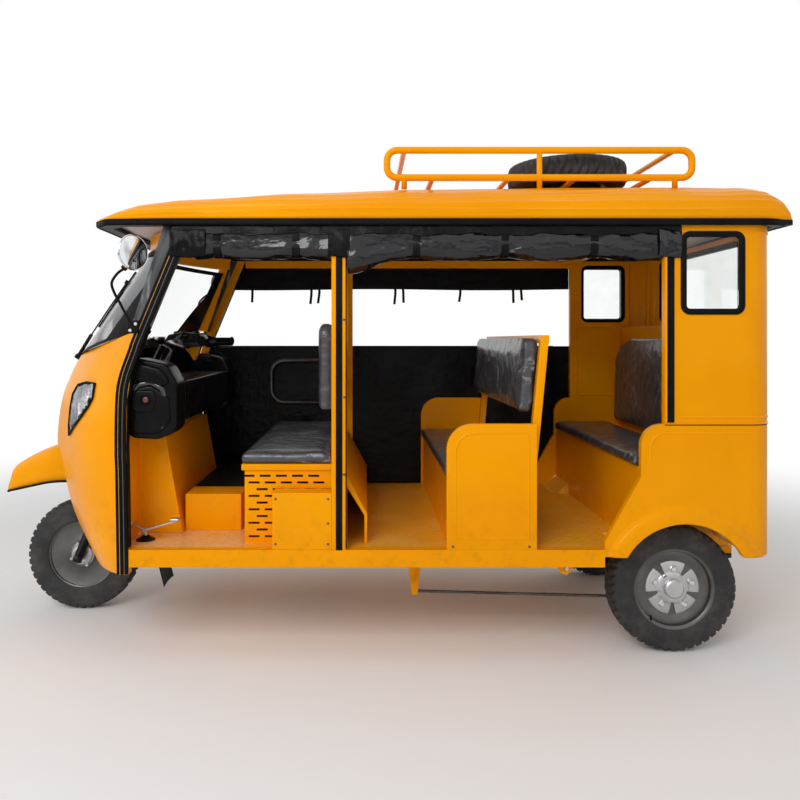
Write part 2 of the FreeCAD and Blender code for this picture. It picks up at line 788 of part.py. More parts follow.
nose = nose.cut(deckHole).cut(bay).cut(chin).cut(jambBehind).cut(lampPrism).cut(mirroredShape(lampPrism))
node(shaped(nose, "front_cowl"), "front_cowl")
noseSpace = shaped(noseSolid(s.seat_gap, rearward).cut(
    noseSolid(-s.nose_wall - s.seat_gap, rearward + s.overrun).cut(aboveDeck(s.nose_deck + s.seat_gap))),
                   "nose_space")
lens = noseSolid(s.lamp_stand, rearward).cut(noseSolid(-s.lamp_depth, rearward)).common(lampPrism)
node(shaped(Part.makeCompound([lens, mirroredShape(lens)]), "headlamps"), "headlamps")

# The windshield is part of a cone between two arcs, in a rubber frame.


def shieldBand(widen, depth, shift):
    wires = []
    for sign, centre, corner in (
            (-1, (s.shield_bottom_x, 0, s.nose_top),
             (s.shield_corner_x, s.shield_bottom_half, s.shield_corner_z)),
            (1, (s.shield_top_x, 0, s.shield_top_z),
             (s.shield_top_corner_x, s.shield_top_half, s.shield_top_corner_z))):
        middle, end = point(*centre), point(*corner)
        inward = Vector(end.x - middle.x, 0, end.z - middle.z).normalize()
        out = shieldUp * float(widen) * sign
        middle = middle + out + inward * float(shift)
        end = end + out + inward * float(shift) + Vector(0, float(widen), 0)
        other = Vector(end.x, -end.y, end.z)
        inner = inward * float(depth)
        wires.append(Part.Wire([
            Part.Arc(other, middle, end).toShape(), Part.LineSegment(end, end + inner).toShape(),
            Part.Arc(end + inner, middle + inner, other + inner).toShape(),
            Part.LineSegment(other + inner, other).toShape()]))
    return Part.makeLoft(wires, True, True)


glassPane = shieldBand(0, s.glass, 0)
node(shaped(glassPane, "windshield_glass"), "windshield_glass")
frame = shieldBand(s.seal_width, s.seal_depth, -s.seal_depth / 4)
frame = frame.cut(shieldBand(-s.seal_width / 2, s.seal_depth * 4, -s.seal_depth * 2)).cut(glassPane)
node(shaped(frame, "windshield_seal"), "windshield_seal")

# Front pillars: the jamb in the side plane with the windshield post beside it.
jamb = sidePanel(jambEdge(-s.jamb_width / 2) + list(reversed(jambEdge(s.jamb_width / 2))),
                 s.body_half_width, s.pillar_depth)
postLow = s.shield_corner_z + s.seal_depth
postQuads = []
for corner, half, z in (((s.shield_corner_x, s.mirror_x), s.shield_bottom_half, postLow),
                        ((s.shield_top_corner_x, s.cantrail_front_x), s.shield_top_half, pillarTop)):
    inner = half + s.seal_width + s.seat_gap
    outer = s.body_half_width - s.pillar_depth
    loop = [point(corner[0] + s.seal_depth, inner, z), point(corner[1] - s.cantrail, outer, z),
            point(corner[1], outer, z), point(corner[0] + s.cantrail * 1.5, inner, z)]
    postQuads.append(Part.makePolygon(loop + loop[:1]))
post = Part.makeLoft(postQuads, True, True)
node(fused([pair(jamb), shaped(Part.makeCompound([post, mirroredShape(post)]), "posts")], "front_pillars"),
     "front_pillars")

# Roof: a crowned skin with closed ends over a flat ring, on the cantrails.
roofStationShares = ((0, 0.9, 0.30), (0.024, 0.975, 0.50), (0.112, 1, 0.69), (0.27, 1, 0.83),
                     (0.445, 1, 0.93), (0.88, 1, 1),
                     (0.975, 1, 0.93), (1, 0.975, 0.70))
roofArchShares = ((1, 0), (0.985, 0.24), (0.92, 0.56), (0.70, 0.85), (0.36, 0.97), (0, 1))


def roofSolid(inset):
    sections = []
    length = s.roof_rear_x - s.roof_front_x - inset * 2
    for along, wide, tall in roofStationShares:
        x = s.roof_front_x + inset + length * along
        half = s.roof_half_width * wide - inset
        crown = s.roof_rise * tall - inset
        left = [point(x, -half * across, s.roof_edge_z + crown * up) for across, up in roofArchShares]
        right = [Vector(spot.x, -spot.y, spot.z) for spot in reversed(left[:-1])]
        curve = Part.BSplineCurve()
        curve.interpolate(left + right)
        sections.append(Part.Wire([curve.toShape(), Part.LineSegment(right[-1], left[0]).toShape()]))
    return Part.makeLoft(sections, True, False)


node(shaped(roofSolid(0).cut(roofSolid(s.roof_wall)), "roof_panel"), "roof_panel")


def roofPlan(shrink, low, height):
    length = s.roof_rear_x - s.roof_front_x - shrink * 2
    left = [point(s.roof_front_x + shrink + length * along, -(s.roof_half_width * wide - shrink), low)
            for along, wide, tall in roofStationShares]
    loop = left + [Vector(spot.x, -spot.y, spot.z) for spot in reversed(left)]
    return Part.Face(Part.makePolygon(loop + loop[:1])).extrude(point(0, 0, height))


ring = roofPlan(0, pillarTop, s.ring_height).cut(roofPlan(s.ring_width * 2, pillarTop, s.ring_height))
node(shaped(ring, "roof_edge_trim"), "roof_edge_trim")

lining = roofPlan(s.ring_width * 2 + s.seat_gap, s.roof_edge_z - s.lining_sheet, s.lining_sheet)
node(shaped(lining, "lining"), "roof_lining")

cantrailLow = pillarTop - s.cantrail
outerY = s.body_half_width
cantrails = pair(block((s.cantrail_front_x + s.jamb_width * 1.7, s.pillar_c_front_x),
                       (-outerY, -outerY + s.cantrail), (cantrailLow, pillarTop)))
bows = [block((x, x + s.pillar_b_width), (-outerY + s.cantrail, outerY - s.cantrail),
              (pillarTop - s.panel, pillarTop))
        for x in (s.pillar_b_front_x, s.pillar_c_front_x - s.pillar_b_width)]
headerLow = s.shield_top_z + s.seal_width
headerArc = []
for depth in (s.seal_depth, s.cantrail + s.seal_depth):
    headerArc.append(Part.Arc(
        point(s.shield_top_corner_x + depth, -s.shield_top_half - s.seal_width, headerLow),
        point(s.shield_top_x + depth, 0, headerLow),
        point(s.shield_top_corner_x + depth, s.shield_top_half + s.seal_width, headerLow)).toShape())
joins = [Part.LineSegment(headerArc[0].Vertexes[end].Point,
                          headerArc[1].Vertexes[end].Point).toShape() for end in (0, 1)]
header = Part.Face(Part.Wire(Part.__sortEdges__(headerArc + joins))).extrude(point(0, 0,
                                                                                   pillarTop - headerLow))
node(fused([cantrails, shaped(header, "header")] + bows, "roof_frame"), "roof_frame")

# Centre pillars carry the two cross rails behind the driver.
pillarB = block((s.pillar_b_front_x, s.pillar_b_front_x + s.pillar_b_width),
                (-outerY, -outerY + s.pillar_depth),
                (s.floor_top, cantrailLow))
railBack = s.pillar_b_front_x + s.post_width
crossRails = [block((s.pillar_b_front_x, railBack), (-outerY + s.pillar_depth, outerY - s.pillar_depth),
                    (z, z + s.post_width))
              for z in (s.rail_low_z, s.rail_high_z)]
node(fused([pair(pillarB)] + crossRails, "centre_pillars"), "centre_pillars")

# Chassis: two rails, cross members, sills with outriggers, spring hangers and the steering neck.
railTop = s.floor_top - s.sheet
railLow = railTop - s.rail_height
railRear = s.body_rear_x - s.panel
mainRail = block((s.rail_front_x, railRear), (-s.rail_gap_half - s.rail_width, -s.rail_gap_half),
                 (railLow, railTop))
sillFront = jambEdge(s.jamb_width / 2)[0][0] + s.seat_gap
sill = block((sillFront, s.sill_rear_x), (-outerY, -outerY + s.sill_width), (s.sill_bottom, s.floor_top))
crossPlaces = (s.rail_front_x, s.pillar_b_front_x, s.crank_x - s.cross_width / 2,
               s.sill_rear_x - s.cross_width,
               railRear - s.cross_width)
crossBars = [block((x, x + s.cross_width), (-s.rail_gap_half, s.rail_gap_half),
                   (railLow, railTop)) for x in crossPlaces]
outriggers = [pair(block((x, x + s.cross_width), (-outerY + s.sill_width, -s.rail_gap_half - s.rail_width),
                         (railLow, railTop)))
              for x in crossPlaces[:-1]]
springY = s.rail_gap_half + s.rail_width / 2
hangerLow = s.tyre_radius + s.axle_tube_radius
hangers = []
for reach in (-s.spring_half_length, s.spring_half_length - s.cross_width):
    hangers.append(pair(block((rearAxleX + reach, rearAxleX + reach + s.cross_width),
                              (-springY - s.spring_width / 2, -springY + s.spring_width / 2),
                              (hangerLow + s.spring_arch + s.spring_leaf * 3, railLow))))
steererHole = rakedRod(s.steerer_radius + s.running_fit, s.head_tube_start - s.overrun,
                       s.head_tube_length + s.overrun * 2)
headTube = cutAway(rakedRod(s.head_tube_radius, s.head_tube_start, s.head_tube_length), steererHole)
neckPoints = [point(s.rail_front_x + s.cross_width / 2, 0, railLow + s.rail_height / 2),
              point(s.rail_front_x, 0, s.step_top),
              point(*onAxis(s.head_tube_start + s.head_tube_length / 2))]
neckTube = tube(neckPoints, s.steerer_radius * 1.2, s.head_tube_radius * 3)
neck = cutAway(shaped(neckTube, "neck_tube"), steererHole)
crankLow = s.arch_centre_z - s.drum_radius
crankPlate = shaped(prism([(s.crank_x - s.slot_pitch_x / 2, railLow),
                           (s.crank_x + s.slot_pitch_x / 2, railLow),
                           (s.crank_x + s.sheet, crankLow), (s.crank_x - s.sheet, crankLow)],
                          -s.crank_half - s.thin_wall, -s.crank_half), "crank_plate")
frameParts = [pair(mainRail), pair(sill), headTube, neck, crankPlate] + crossBars + outriggers + hangers
node(fused(frameParts, "ladder"), "ladder_frame")

# Floor pan with the rear wheel housings.
wide = outerY - s.sill_width
floor = block((s.bulkhead_x + s.sheet, railRear), (-wide, wide), (railTop, s.floor_top))
notch = block((s.bulkhead_x - s.overrun, s.rail_front_x - s.post_width), (-s.nose_bay_half, s.nose_bay_half),
              (railLow, s.step_top))
neckSlot = block((s.rail_front_x - s.post_width, s.rail_front_x + s.cross_width),
                 (-s.head_tube_radius, s.head_tube_radius),
                 (railLow, s.step_top))
housingY = -s.housing_half
inside = outerY - s.panel
houseOuter = rod(s.housing_radius, inside - s.housing_half, rearAxleX, -inside, s.tyre_radius, "y")
houseInner = rod(s.housing_radius - s.sheet, inside - s.housing_half, rearAxleX, -inside - s.sheet,
                 s.tyre_radius, "y")
below = block((rearAxleX - s.housing_radius - s.sheet, rearAxleX + s.housing_radius + s.sheet),
              (-outerY, housingY + s.sheet),
              (-s.housing_radius, railTop))
housing = pair(cutAway(cutAway(houseOuter, houseInner), below))
wells = pair(block((rearAxleX - s.housing_radius + s.sheet * 4, rearAxleX + s.housing_radius - s.sheet * 4),
                   (-outerY, housingY - s.sheet), (railLow, s.floor_top + s.thin_wall)))
engineRear = s.shaft_front_x
engineHole = block((engineRear - s.engine_length - s.rim_wall, engineRear + s.rim_wall),
                   (-s.engine_half_width - s.rim_wall, s.engine_half_width + s.rim_wall),
                   (railLow, s.step_top))
floorCut = cutAway(cutAway(cutAway(floor, fused([notch, neckSlot])), wells), engineHole)
cornerX = s.body_rear_x - s.corner_radius
cornerBox = block((cornerX, s.body_rear_x + s.panel), (-outerY - s.panel, -outerY + s.corner_radius),
                  (-s.panel, s.roof_edge_z))
cornerFree = rod(s.corner_radius - s.panel - s.seat_gap, s.roof_edge_z + s.panel, cornerX,
                 -outerY + s.corner_radius, -s.panel)
cornerSpace = pair(cutAway(cornerBox, cornerFree))
node(cutAway(fused([floorCut, housing], "floor_shape"), cornerSpace), "floor_pan")
houseTool = pair(rod(s.housing_radius, inside - s.housing_half + s.seat_gap, rearAxleX, -inside,
                     s.tyre_radius, "y"))

# Front bulkhead with the steering column cover, and the raised step behind the front wheel.
foot = pair(block((s.bulkhead_x, s.bulkhead_x + s.sheet), (-outerY + s.pillar_depth, -s.column_half),
                  (s.floor_top, s.dash_top - s.panel * 2)))
coverShape = prism([(s.column_front_x, s.floor_top), (s.column_rear_low_x, s.floor_top),
                    (s.column_rear_top_x, s.column_top),
                    (s.column_front_x, s.column_top)], -s.column_half, s.column_half)
coverHollow = prism([(s.column_front_x - s.overrun, 0), (s.column_rear_low_x - s.thin_wall, 0),
                     (s.column_rear_low_x - s.thin_wall, s.floor_top),
                     (s.column_rear_top_x - s.thin_wall, s.column_top - s.thin_wall),
                     (s.column_front_x - s.overrun, s.column_top - s.thin_wall)],
                    -s.column_half + s.thin_wall, s.column_half - s.thin_wall)
stepFront = s.column_rear_low_x + s.seat_gap
stepBox = cutAway(block((stepFront, s.step_rear_x), (-s.step_half, s.step_half), (s.floor_top, s.step_top)),
                  block((stepFront + s.thin_wall, s.step_rear_x - s.thin_wall),
                        (-s.step_half + s.thin_wall, s.step_half - s.thin_wall),
                        (s.floor_top - s.sheet, s.step_top - s.thin_wall)))
columnCover = shaped(coverShape.cut(coverHollow), "column_cover")
node(cutAway(fused([foot, columnCover], "bulkhead"), noseSpace), "front_bulkhead")
node(stepBox, "floor_step")

podInner = s.dash_pod_half + s.sheet
tray = block((s.dash_front_x, s.dash_rear_x), (-podInner, podInner), (s.dash_top - s.panel, s.dash_top))
lip = block((s.dash_rear_x - s.sheet, s.dash_rear_x), (-podInner, podInner), (s.column_top + s.dash_round, s.dash_top))
podFront = s.bulkhead_x + s.sheet
podEdge = [(podFront, s.column_top), (s.dash_rear_x, s.column_top), (s.dash_rear_x, s.dash_pod_top),
           (podFront, s.dash_pod_top)]
podOuter = outerY - s.pillar_depth
pods = pair(sidePanel(podEdge, podOuter, podOuter - podInner, podEdge[1:3], s.dash_round))
podClear = shaped(Part.makeCompound([prism(jambEdge(-s.jamb_width) + [(s.nose_front_x, pillarTop),
                                                                      (s.nose_front_x, 0)],
                                           -s.body_half_width, s.body_half_width)]), "ahead_of_jamb")
node(cutAway(cutAway(fused([tray, lip, pods], "dash_parts"), podClear), noseSpace), "dashboard")

pedalY = -(s.column_half + s.pedal_width * 1.5)
pedalBase = s.floor_top + s.panel
gearPedal = [block((s.bulkhead_x + s.sheet, s.bulkhead_x + s.sheet + s.pedal_width),
                   (pedalY, pedalY + s.pedal_width),
                   (pedalBase, pedalBase + s.sheet)),
             rod(s.lever_radius, s.panel, s.bulkhead_x + s.pedal_width, pedalY + s.pedal_width / 2,
                 s.floor_top)]
brakeArm = rod(s.lever_radius, s.pedal_width * 1.6, s.bulkhead_x + s.sheet, -pedalY - s.pedal_width / 2,
               s.step_top, "x")
brakePad = rod(s.pedal_width / 2, s.sheet, s.bulkhead_x + s.sheet + s.pedal_width * 1.6,
               -pedalY - s.pedal_width / 2,
               s.step_top, "x")
node(fused(gearPedal + [brakeArm, brakePad], "foot_pedals"), "foot_pedals")

# Driver's row.
trayLow = s.tray_top - s.tray_thickness
kickFront = s.kick_rear_x - s.sheet
trayProfile = [(s.driver_front_x, trayLow), (s.driver_front_x, s.tray_top),
               (s.pillar_b_front_x + s.post_width, s.tray_top),
               (s.kick_rear_x, s.kick_knee_z), (s.kick_rear_x, s.floor_top), (kickFront, s.floor_top),
               (kickFront, s.kick_knee_z - s.thin_wall), (s.pillar_b_front_x + s.post_width / 2, trayLow)]
node(sidePanel(trayProfile, s.tray_half, s.tray_half * 2), "driver_seat_tray")
coverWall = cutAway(
    block((s.driver_front_x + s.sheet, s.driver_rear_x), (-s.cover_half, s.cover_half),
          (s.floor_top, trayLow)),
    block((s.driver_front_x + s.sheet + s.thin_wall, s.driver_rear_x + s.overrun),
          (-s.cover_half + s.thin_wall, s.cover_half - s.thin_wall),
          (s.floor_top - s.sheet, s.tray_top)))
slots = []
slotRows, slotColumns = 9, 5
for row in range(slotRows):
    for column in range(slotColumns):
        shift = s.slot_pitch_x * (column + 0.5 * (row % 2) - 0.25)
        x = s.driver_front_x + s.slot_length + shift
        z = s.floor_top + s.slot_pitch_z * (row + 0.8)
        slots.append(block((x, x + s.slot_length), (-s.cover_half - s.sheet, -s.cover_half + s.sheet),
                           (z, z + s.slot_height)))
slotGroup = doc.addObject("Part::Compound", "slots")
slotGroup.Links = slots
node(cutAway(coverWall, slotGroup), "engine_cover")
node(block((s.battery_front_x, s.pillar_b_front_x), (-outerY, -outerY + s.battery_depth),
           (s.floor_top, s.battery_top)),
     "battery_box")
node(block((s.driver_front_x - s.tray_thickness / 2, s.pillar_b_front_x), (-s.cushion_half, s.cushion_half),
           (s.tray_top, s.tray_top + s.cushion)), "driver_cushion")
node(block((s.pillar_b_front_x - s.back_pad, s.pillar_b_front_x), (-s.driver_back_half, s.driver_back_half),
           (s.driver_back_low, s.driver_back_high)), "driver_backrest")
loopY = outerY - s.pillar_depth / 2
loopFront = s.pillar_b_front_x - s.guard_rail_length
guardLoop = tube([point(s.pillar_b_front_x, loopY, s.guard_rail_high),
                  point(loopFront, loopY, s.guard_rail_high),
                  point(loopFront, loopY, s.guard_rail_low),
                  point(s.pillar_b_front_x, loopY, s.guard_rail_low)],
                 s.guard_rail_radius, s.guard_rail_bend)
node(shaped(guardLoop, "guard_rail"), "guard_rail")

# Middle bench: side panels, front board, seat board and leaning posts with a top rail.
front, rear, base, top = s.middle_front_x, s.middle_rear_x, s.floor_top, s.belt_z
sides = pair(sidePanel([(front, base), (rear, base), (rear, top), (front, top)], outerY, s.panel,
                       [(front, top)], s.middle_round))
boards = [block((front + s.sheet, front + s.sheet * 2), (-inside, inside), (base, s.middle_seat_z)),
          block((front + s.sheet, rear), (-inside, inside), (s.middle_seat_z - s.sheet, s.middle_seat_z))]
post = [(rear - s.post_width, s.middle_seat_z), (rear, s.middle_seat_z),
        (rear + s.middle_lean, s.middle_back_top),
        (rear + s.middle_lean - s.post_width, s.middle_back_top)]
posts = pair(sidePanel(post, inside, s.post_width))
topRail = block((rear + s.middle_lean - s.post_width, rear + s.middle_lean), (-inside, inside),
                (s.middle_back_top - s.post_width, s.middle_back_top))
node(fused([sides, posts, topRail] + boards, "middle_bench_frame"), "middle_bench_frame")
node(block((front - s.sheet, rear - s.post_width * 2), (-s.seat_half, s.seat_half),
           (s.middle_seat_z, s.middle_seat_z + s.cushion)),
     "middle_cushion")


def leanX(z):
    leanShare = (z - s.middle_seat_z) * (1 / float(s.middle_back_top - s.middle_seat_z))
    return rear - s.post_width + s.middle_lean * leanShare


backPad = [(leanX(s.middle_back_low) - s.back_pad, s.middle_back_low),
           (leanX(s.middle_back_low), s.middle_back_low),
           (leanX(s.middle_back_top), s.middle_back_top),
           (leanX(s.middle_back_top) - s.back_pad, s.middle_back_top)]
node(sidePanel(backPad, s.seat_half, s.seat_half * 2), "middle_backrest")

# Rear quarters: a flat panel with a rounded rear corner, cut for the window and the wheel.
low = s.body_bottom
slant = s.sill_rear_x
quarterEdge = [(slant, low), (slant, low + s.overrun), (s.quarter_low_x, s.quarter_knee_z),
               (s.quarter_low_x, top), (s.pillar_c_front_x, top), (s.pillar_c_front_x, pillarTop),
               (cornerX, pillarTop), (cornerX, low)]
quarter = sidePanel(quarterEdge, outerY, s.panel, [(s.quarter_low_x, top)], s.quarter_round)
corner = cutAway(rod(s.corner_radius, pillarTop - low, cornerX, -outerY + s.corner_radius, low),
                 rod(s.corner_radius - s.panel, pillarTop, cornerX, -outerY + s.corner_radius,
                     s.floor_top / 2))
inner = block((cornerX - s.corner_radius - s.panel, s.body_rear_x + s.panel),
              (-outerY + s.corner_radius, s.panel), (low / 2, s.roof_edge_z))
ahead = block((cornerX - s.corner_radius - s.panel, cornerX), (-outerY - s.panel, s.panel),
              (low / 2, s.roof_edge_z))
cornerPart = cutAway(cutAway(corner, inner), ahead)
frameX = (s.window_front_x, s.window_front_x + s.window_length)
frameZ = (s.window_bottom, s.window_bottom + s.window_height)
opening = roundedBlock(frameX, (-outerY - s.panel, -outerY + s.panel * 2), frameZ, "y", s.window_round)
archX = rearAxleX - s.rim_half_width / 3
arch = rod(s.arch_radius, s.panel * 4, archX, -outerY - s.panel * 2, s.arch_centre_z, "y")
flare = cutAway(rod(s.arch_radius + s.flare_width, s.flare_stand, archX, -outerY - s.flare_stand,
                    s.arch_centre_z, "y"),
                block((slant - s.overrun, s.body_rear_x), (-outerY - s.panel, -outerY + s.panel),
                      (-s.overrun, low)))
solidQuarter = cutAway(cutAway(fused([quarter, cornerPart, flare], "quarter"), opening), arch)
node(solidQuarter, "rear_quarter_left")
node(mirrored(solidQuarter), "rear_quarter_right")

backWall = block((railRear, s.body_rear_x), (-outerY + s.corner_radius, outerY - s.corner_radius),
                 (low, pillarTop))
backY = (-s.back_window_half, s.back_window_half)
through = (railRear - s.panel, s.body_rear_x + s.panel)
node(cutAway(backWall, roundedBlock(through, backY, frameZ, "x", s.window_round)), "rear_wall")

band = s.window_frame
innerRound = s.window_round - band
paneX, paneZ = (frameX[0] + band, frameX[1] - band), (frameZ[0] + band, frameZ[1] - band)
backPaneY = (backY[0] + band, backY[1] - band)
sideSeal = cutAway(roundedBlock(frameX, (-outerY - s.rim_wall, -outerY + s.panel), frameZ, "y",
                                s.window_round),
                   roundedBlock(paneX, (-outerY - s.panel, -outerY + s.panel * 2), paneZ, "y", innerRound))
backSeal = cutAway(roundedBlock((railRear, s.body_rear_x + s.rim_wall), backY, frameZ, "x", s.window_round),
                   roundedBlock(through, backPaneY, paneZ, "x", innerRound))
seals = doc.addObject("Part::Compound", "window_seals")
seals.Links = [pair(sideSeal), backSeal]
node(seals, "window_seals")
sidePane = roundedBlock(paneX, (-outerY + s.thin_wall, -outerY + s.thin_wall * 2), paneZ, "y", innerRound)
backPane = roundedBlock((s.body_rear_x - s.thin_wall * 2, s.body_rear_x - s.thin_wall), backPaneY, paneZ,
                        "x", innerRound)
panes = doc.addObject("Part::Compound", "window_glass")
panes.Links = [pair(sidePane), backPane]
node(panes, "window_glass")
node(pair(block((s.body_rear_x, s.body_rear_x + s.tail_depth), (-s.tail_half - s.tail_width, -s.tail_half),
                (s.tail_bottom, s.tail_bottom + s.tail_height))), "tail_lamps")

# Rear bench on its bulkhead.
benchFront, benchTop, benchBack = s.rear_seat_x, s.rear_seat_z, s.rear_back_x
benchParts = [block((benchFront, benchFront + s.sheet), (-inside, inside), (base, benchTop)),
              block((benchFront, benchBack), (-inside, inside), (benchTop - s.sheet, benchTop)),
              block((benchBack, benchBack + s.sheet), (-inside, inside), (base, s.rear_back_top))]
node(cutAway(fused(benchParts, "rear_bench"), houseTool), "rear_bench_frame")
node(block((benchFront - s.rear_overhang_pad, benchBack - s.back_pad - s.sheet), (-s.seat_half, s.seat_half),
           (benchTop, benchTop + s.cushion)), "rear_cushion")
node(block((benchBack - s.back_pad, benchBack), (-s.seat_half, s.seat_half),
           (benchTop + s.cushion, s.middle_back_top)),
     "rear_backrest")

# Curtains: the rolls under the left cantrail, and the lowered curtain on the right.
rollZ = cantrailLow - s.roll_radius - s.roll_drop
rollY = -outerY + s.pillar_depth
bEnd = s.pillar_b_front_x + s.pillar_b_width
rolls = [rod(s.roll_radius, start_end[1] - start_end[0], start_end[0], rollY, rollZ, "x")
         for start_end in ((s.cantrail_front_x + s.jamb_width * 1.7, s.pillar_b_front_x - s.seat_gap),
                           (bEnd + s.seat_gap, s.pillar_c_front_x - s.seat_gap))]
rollGroup = doc.addObject("Part::Compound", "rolls")
rollGroup.Links = rolls
node(rollGroup, "curtain_roll_left")
farY = (outerY + s.seat_gap, outerY + s.seat_gap + s.sheet_cloth)
node(block((s.cantrail_front_x, s.pillar_c_front_x), farY, (s.far_band_bottom, pillarTop)),
     "curtain_band_right")
farSheet = block((s.sill_front_x, s.quarter_low_x), farY, (s.floor_top, s.far_sheet_top))
flareSpace = rod(s.arch_radius + s.flare_width + s.rim_wall, s.panel * 2, archX, outerY - s.panel,
                 s.arch_centre_z, "y")
node(cutAway(farSheet, flareSpace), "curtain_sheet_right")

# Roof rack with the spare wheel lying on it.
midX = (s.rack_front_x + s.rack_rear_x) / 2


def rackSide(side):
    y = s.rack_half * side
    halves = []
    for end in (s.rack_front_x, s.rack_rear_x):
        corners = [point(midX, y, s.rack_low_z), point(end, y, s.rack_low_z),
                   point(end, y, s.rack_high_z), point(midX, y, s.rack_high_z)]
        halves.append(tube(corners, s.rack_tube, s.rack_tube * 3))
    return shaped(halves[0].fuse(halves[1]).removeSplitter(), "rack_side")


crossLow = [rod(s.rack_tube * 0.8, s.rack_half * 2, s.rack_front_x + (s.rack_rear_x - s.rack_front_x) * share,
                -s.rack_half, s.rack_low_z, "y") for share in (0.15, 0.4, 0.62, 0.87)]
crossHigh = [rod(s.rack_tube * 0.8, s.rack_half * 2, x, -s.rack_half, s.rack_high_z, "y")
             for x in (s.rack_front_x + s.rack_bend, s.rack_rear_x - s.rack_bend)]
midPosts = pair(rod(s.rack_tube * 0.8, s.rack_high_z - s.rack_low_z, midX, -s.rack_half, s.rack_low_z))
footLow = s.roof_edge_z + s.roof_rise * 0.6
feet = pair(fused([rod(s.rack_tube * 0.8, s.rack_low_z - footLow, x, -s.rack_half, footLow)
                   for x in (s.rack_front_x + s.rack_bend, midX, s.rack_rear_x - s.rack_bend)]))
roofTool = shaped(roofSolid(-s.seat_gap), "roof_form")
rackShape = fused([rackSide(-1), rackSide(1), midPosts, feet] + crossLow + crossHigh, "rack_tubes")
node(cutAway(rackShape, roofTool), "roof_rack")
spareZ = s.rack_low_z + s.rack_tube * 0.8 + s.tyre_half_width
spareTyre, spareRim = makeTyre(), makeRim(s.rim_disc_offset, -s.rim_disc_offset * 3, s.hub_radius,
                                          s.axle_pin_radius * 2)
for piece in (spareTyre, spareRim):
    piece.Placement = Placement(Vector(), Rotation(Vector(1, 0, 0), -90))
    place(piece, s.spare_x, s.spare_y, spareZ)
spare = doc.addObject("Part::Compound", "spare")
spare.Links = [spareTyre, spareRim]
node(spare, "spare_wheel")

# Mirrors and the wiper.
mirrorParts = []
disc = Part.makeCylinder(float(s.mirror_radius), float(s.mirror_depth),
                         point(s.mirror_x, -s.mirror_half, s.mirror_z), Vector(1, 0, 0))
baseX, baseZ = jambEdge(0)[6]
armPoints = [point(baseX, -outerY, baseZ),
             point(s.shield_corner_x, -s.mirror_half + s.roll_radius,
                   s.shield_corner_z + s.mirror_radius * 1.6),
             point(s.shield_corner_x - s.jamb_width / 2, -s.mirror_half, s.mirror_z - s.mirror_radius * 1.2),
             point(s.mirror_x + s.mirror_depth / 2, -s.mirror_half, s.mirror_z)]
arm = tube(armPoints, s.mirror_arm, s.mirror_radius * 0.6)
stem = Part.makeCylinder(float(s.grip_radius * 0.9), float(s.sheet), point(baseX, -outerY - s.sheet, baseZ),
                         Vector(0, 1, 0))
mirror = disc.fuse([arm, stem]).cut(Part.makeBox(*[float(s.body_half_width) * 2] * 3,
                                                 point(s.nose_front_x, -outerY, 0)))
node(shaped(Part.makeCompound([mirror, mirroredShape(mirror)]), "mirrors"), "mirrors")

outward = Vector(-shieldUp.z, 0, shieldUp.x)
wiperBase = point(s.shield_bottom_x, -s.fork_spacing, s.nose_top) + outward * float(s.wiper_stand)
wiperTip = wiperBase + shieldUp * float(s.guard_half_width * 3) + Vector(float(s.sheet),
                                                                         -float(s.meter_radius), 0)
armShape = Part.makeCylinder(float(s.wiper_radius), (wiperTip - wiperBase).Length, wiperBase,
                             wiperTip - wiperBase)
pivot = Part.makeCylinder(float(s.wiper_radius * 2), float(s.wiper_stand * 2), wiperBase, outward * -1)
pivotShape = pivot.cut(noseOuter).cut(frame).cut(glassPane)
pivotShape = max(pivotShape.Solids, key=lambda solid: solid.Volume)
node(shaped(armShape.fuse(pivotShape), "wiper"), "wiper")

# Running gear below the floor.
axleZ = s.tyre_radius
drumBack = s.track_half - s.drum_depth - s.running_fit
tubeHalf = drumBack - s.seat_gap
axleTube = rod(s.axle_tube_radius, tubeHalf * 2, rearAxleX, -tubeHalf, axleZ, "y")
stub = rod(s.axle_pin_radius, (s.track_half + s.tyre_half_width) * 2, rearAxleX,
           -s.track_half - s.tyre_half_width, axleZ, "y")
diff = rod(s.diff_radius, s.diff_radius * 1.4, rearAxleX, -s.diff_radius * 0.7, axleZ, "y")
plates = pair(rod(s.drum_radius, s.sheet, rearAxleX, -tubeHalf, axleZ, "y"))
springLow = axleZ + s.axle_tube_radius


def springLeaves():
    """One leaf pack as an arch under the rail, thick at the axle."""
    ends = s.spring_half_length
    y = -springY - s.spring_width / 2
    low = Part.Arc(point(rearAxleX - ends, y, springLow + s.spring_arch + s.spring_leaf),
                   point(rearAxleX, y, springLow),
                   point(rearAxleX + ends, y, springLow + s.spring_arch + s.spring_leaf)).toShape()
    high = Part.Arc(point(rearAxleX - ends, y, springLow + s.spring_arch + s.spring_leaf * 3),
                    point(rearAxleX, y, springLow + s.spring_leaf * 3),
                    point(rearAxleX + ends, y, springLow + s.spring_arch + s.spring_leaf * 3)).toShape()
    sides = [Part.LineSegment(low.Vertexes[i].Point, high.Vertexes[i].Point).toShape() for i in (0, 1)]
    face = Part.Face(Part.Wire(Part.__sortEdges__([low, high] + sides)))
    return face.extrude(point(0, s.spring_width, 0))


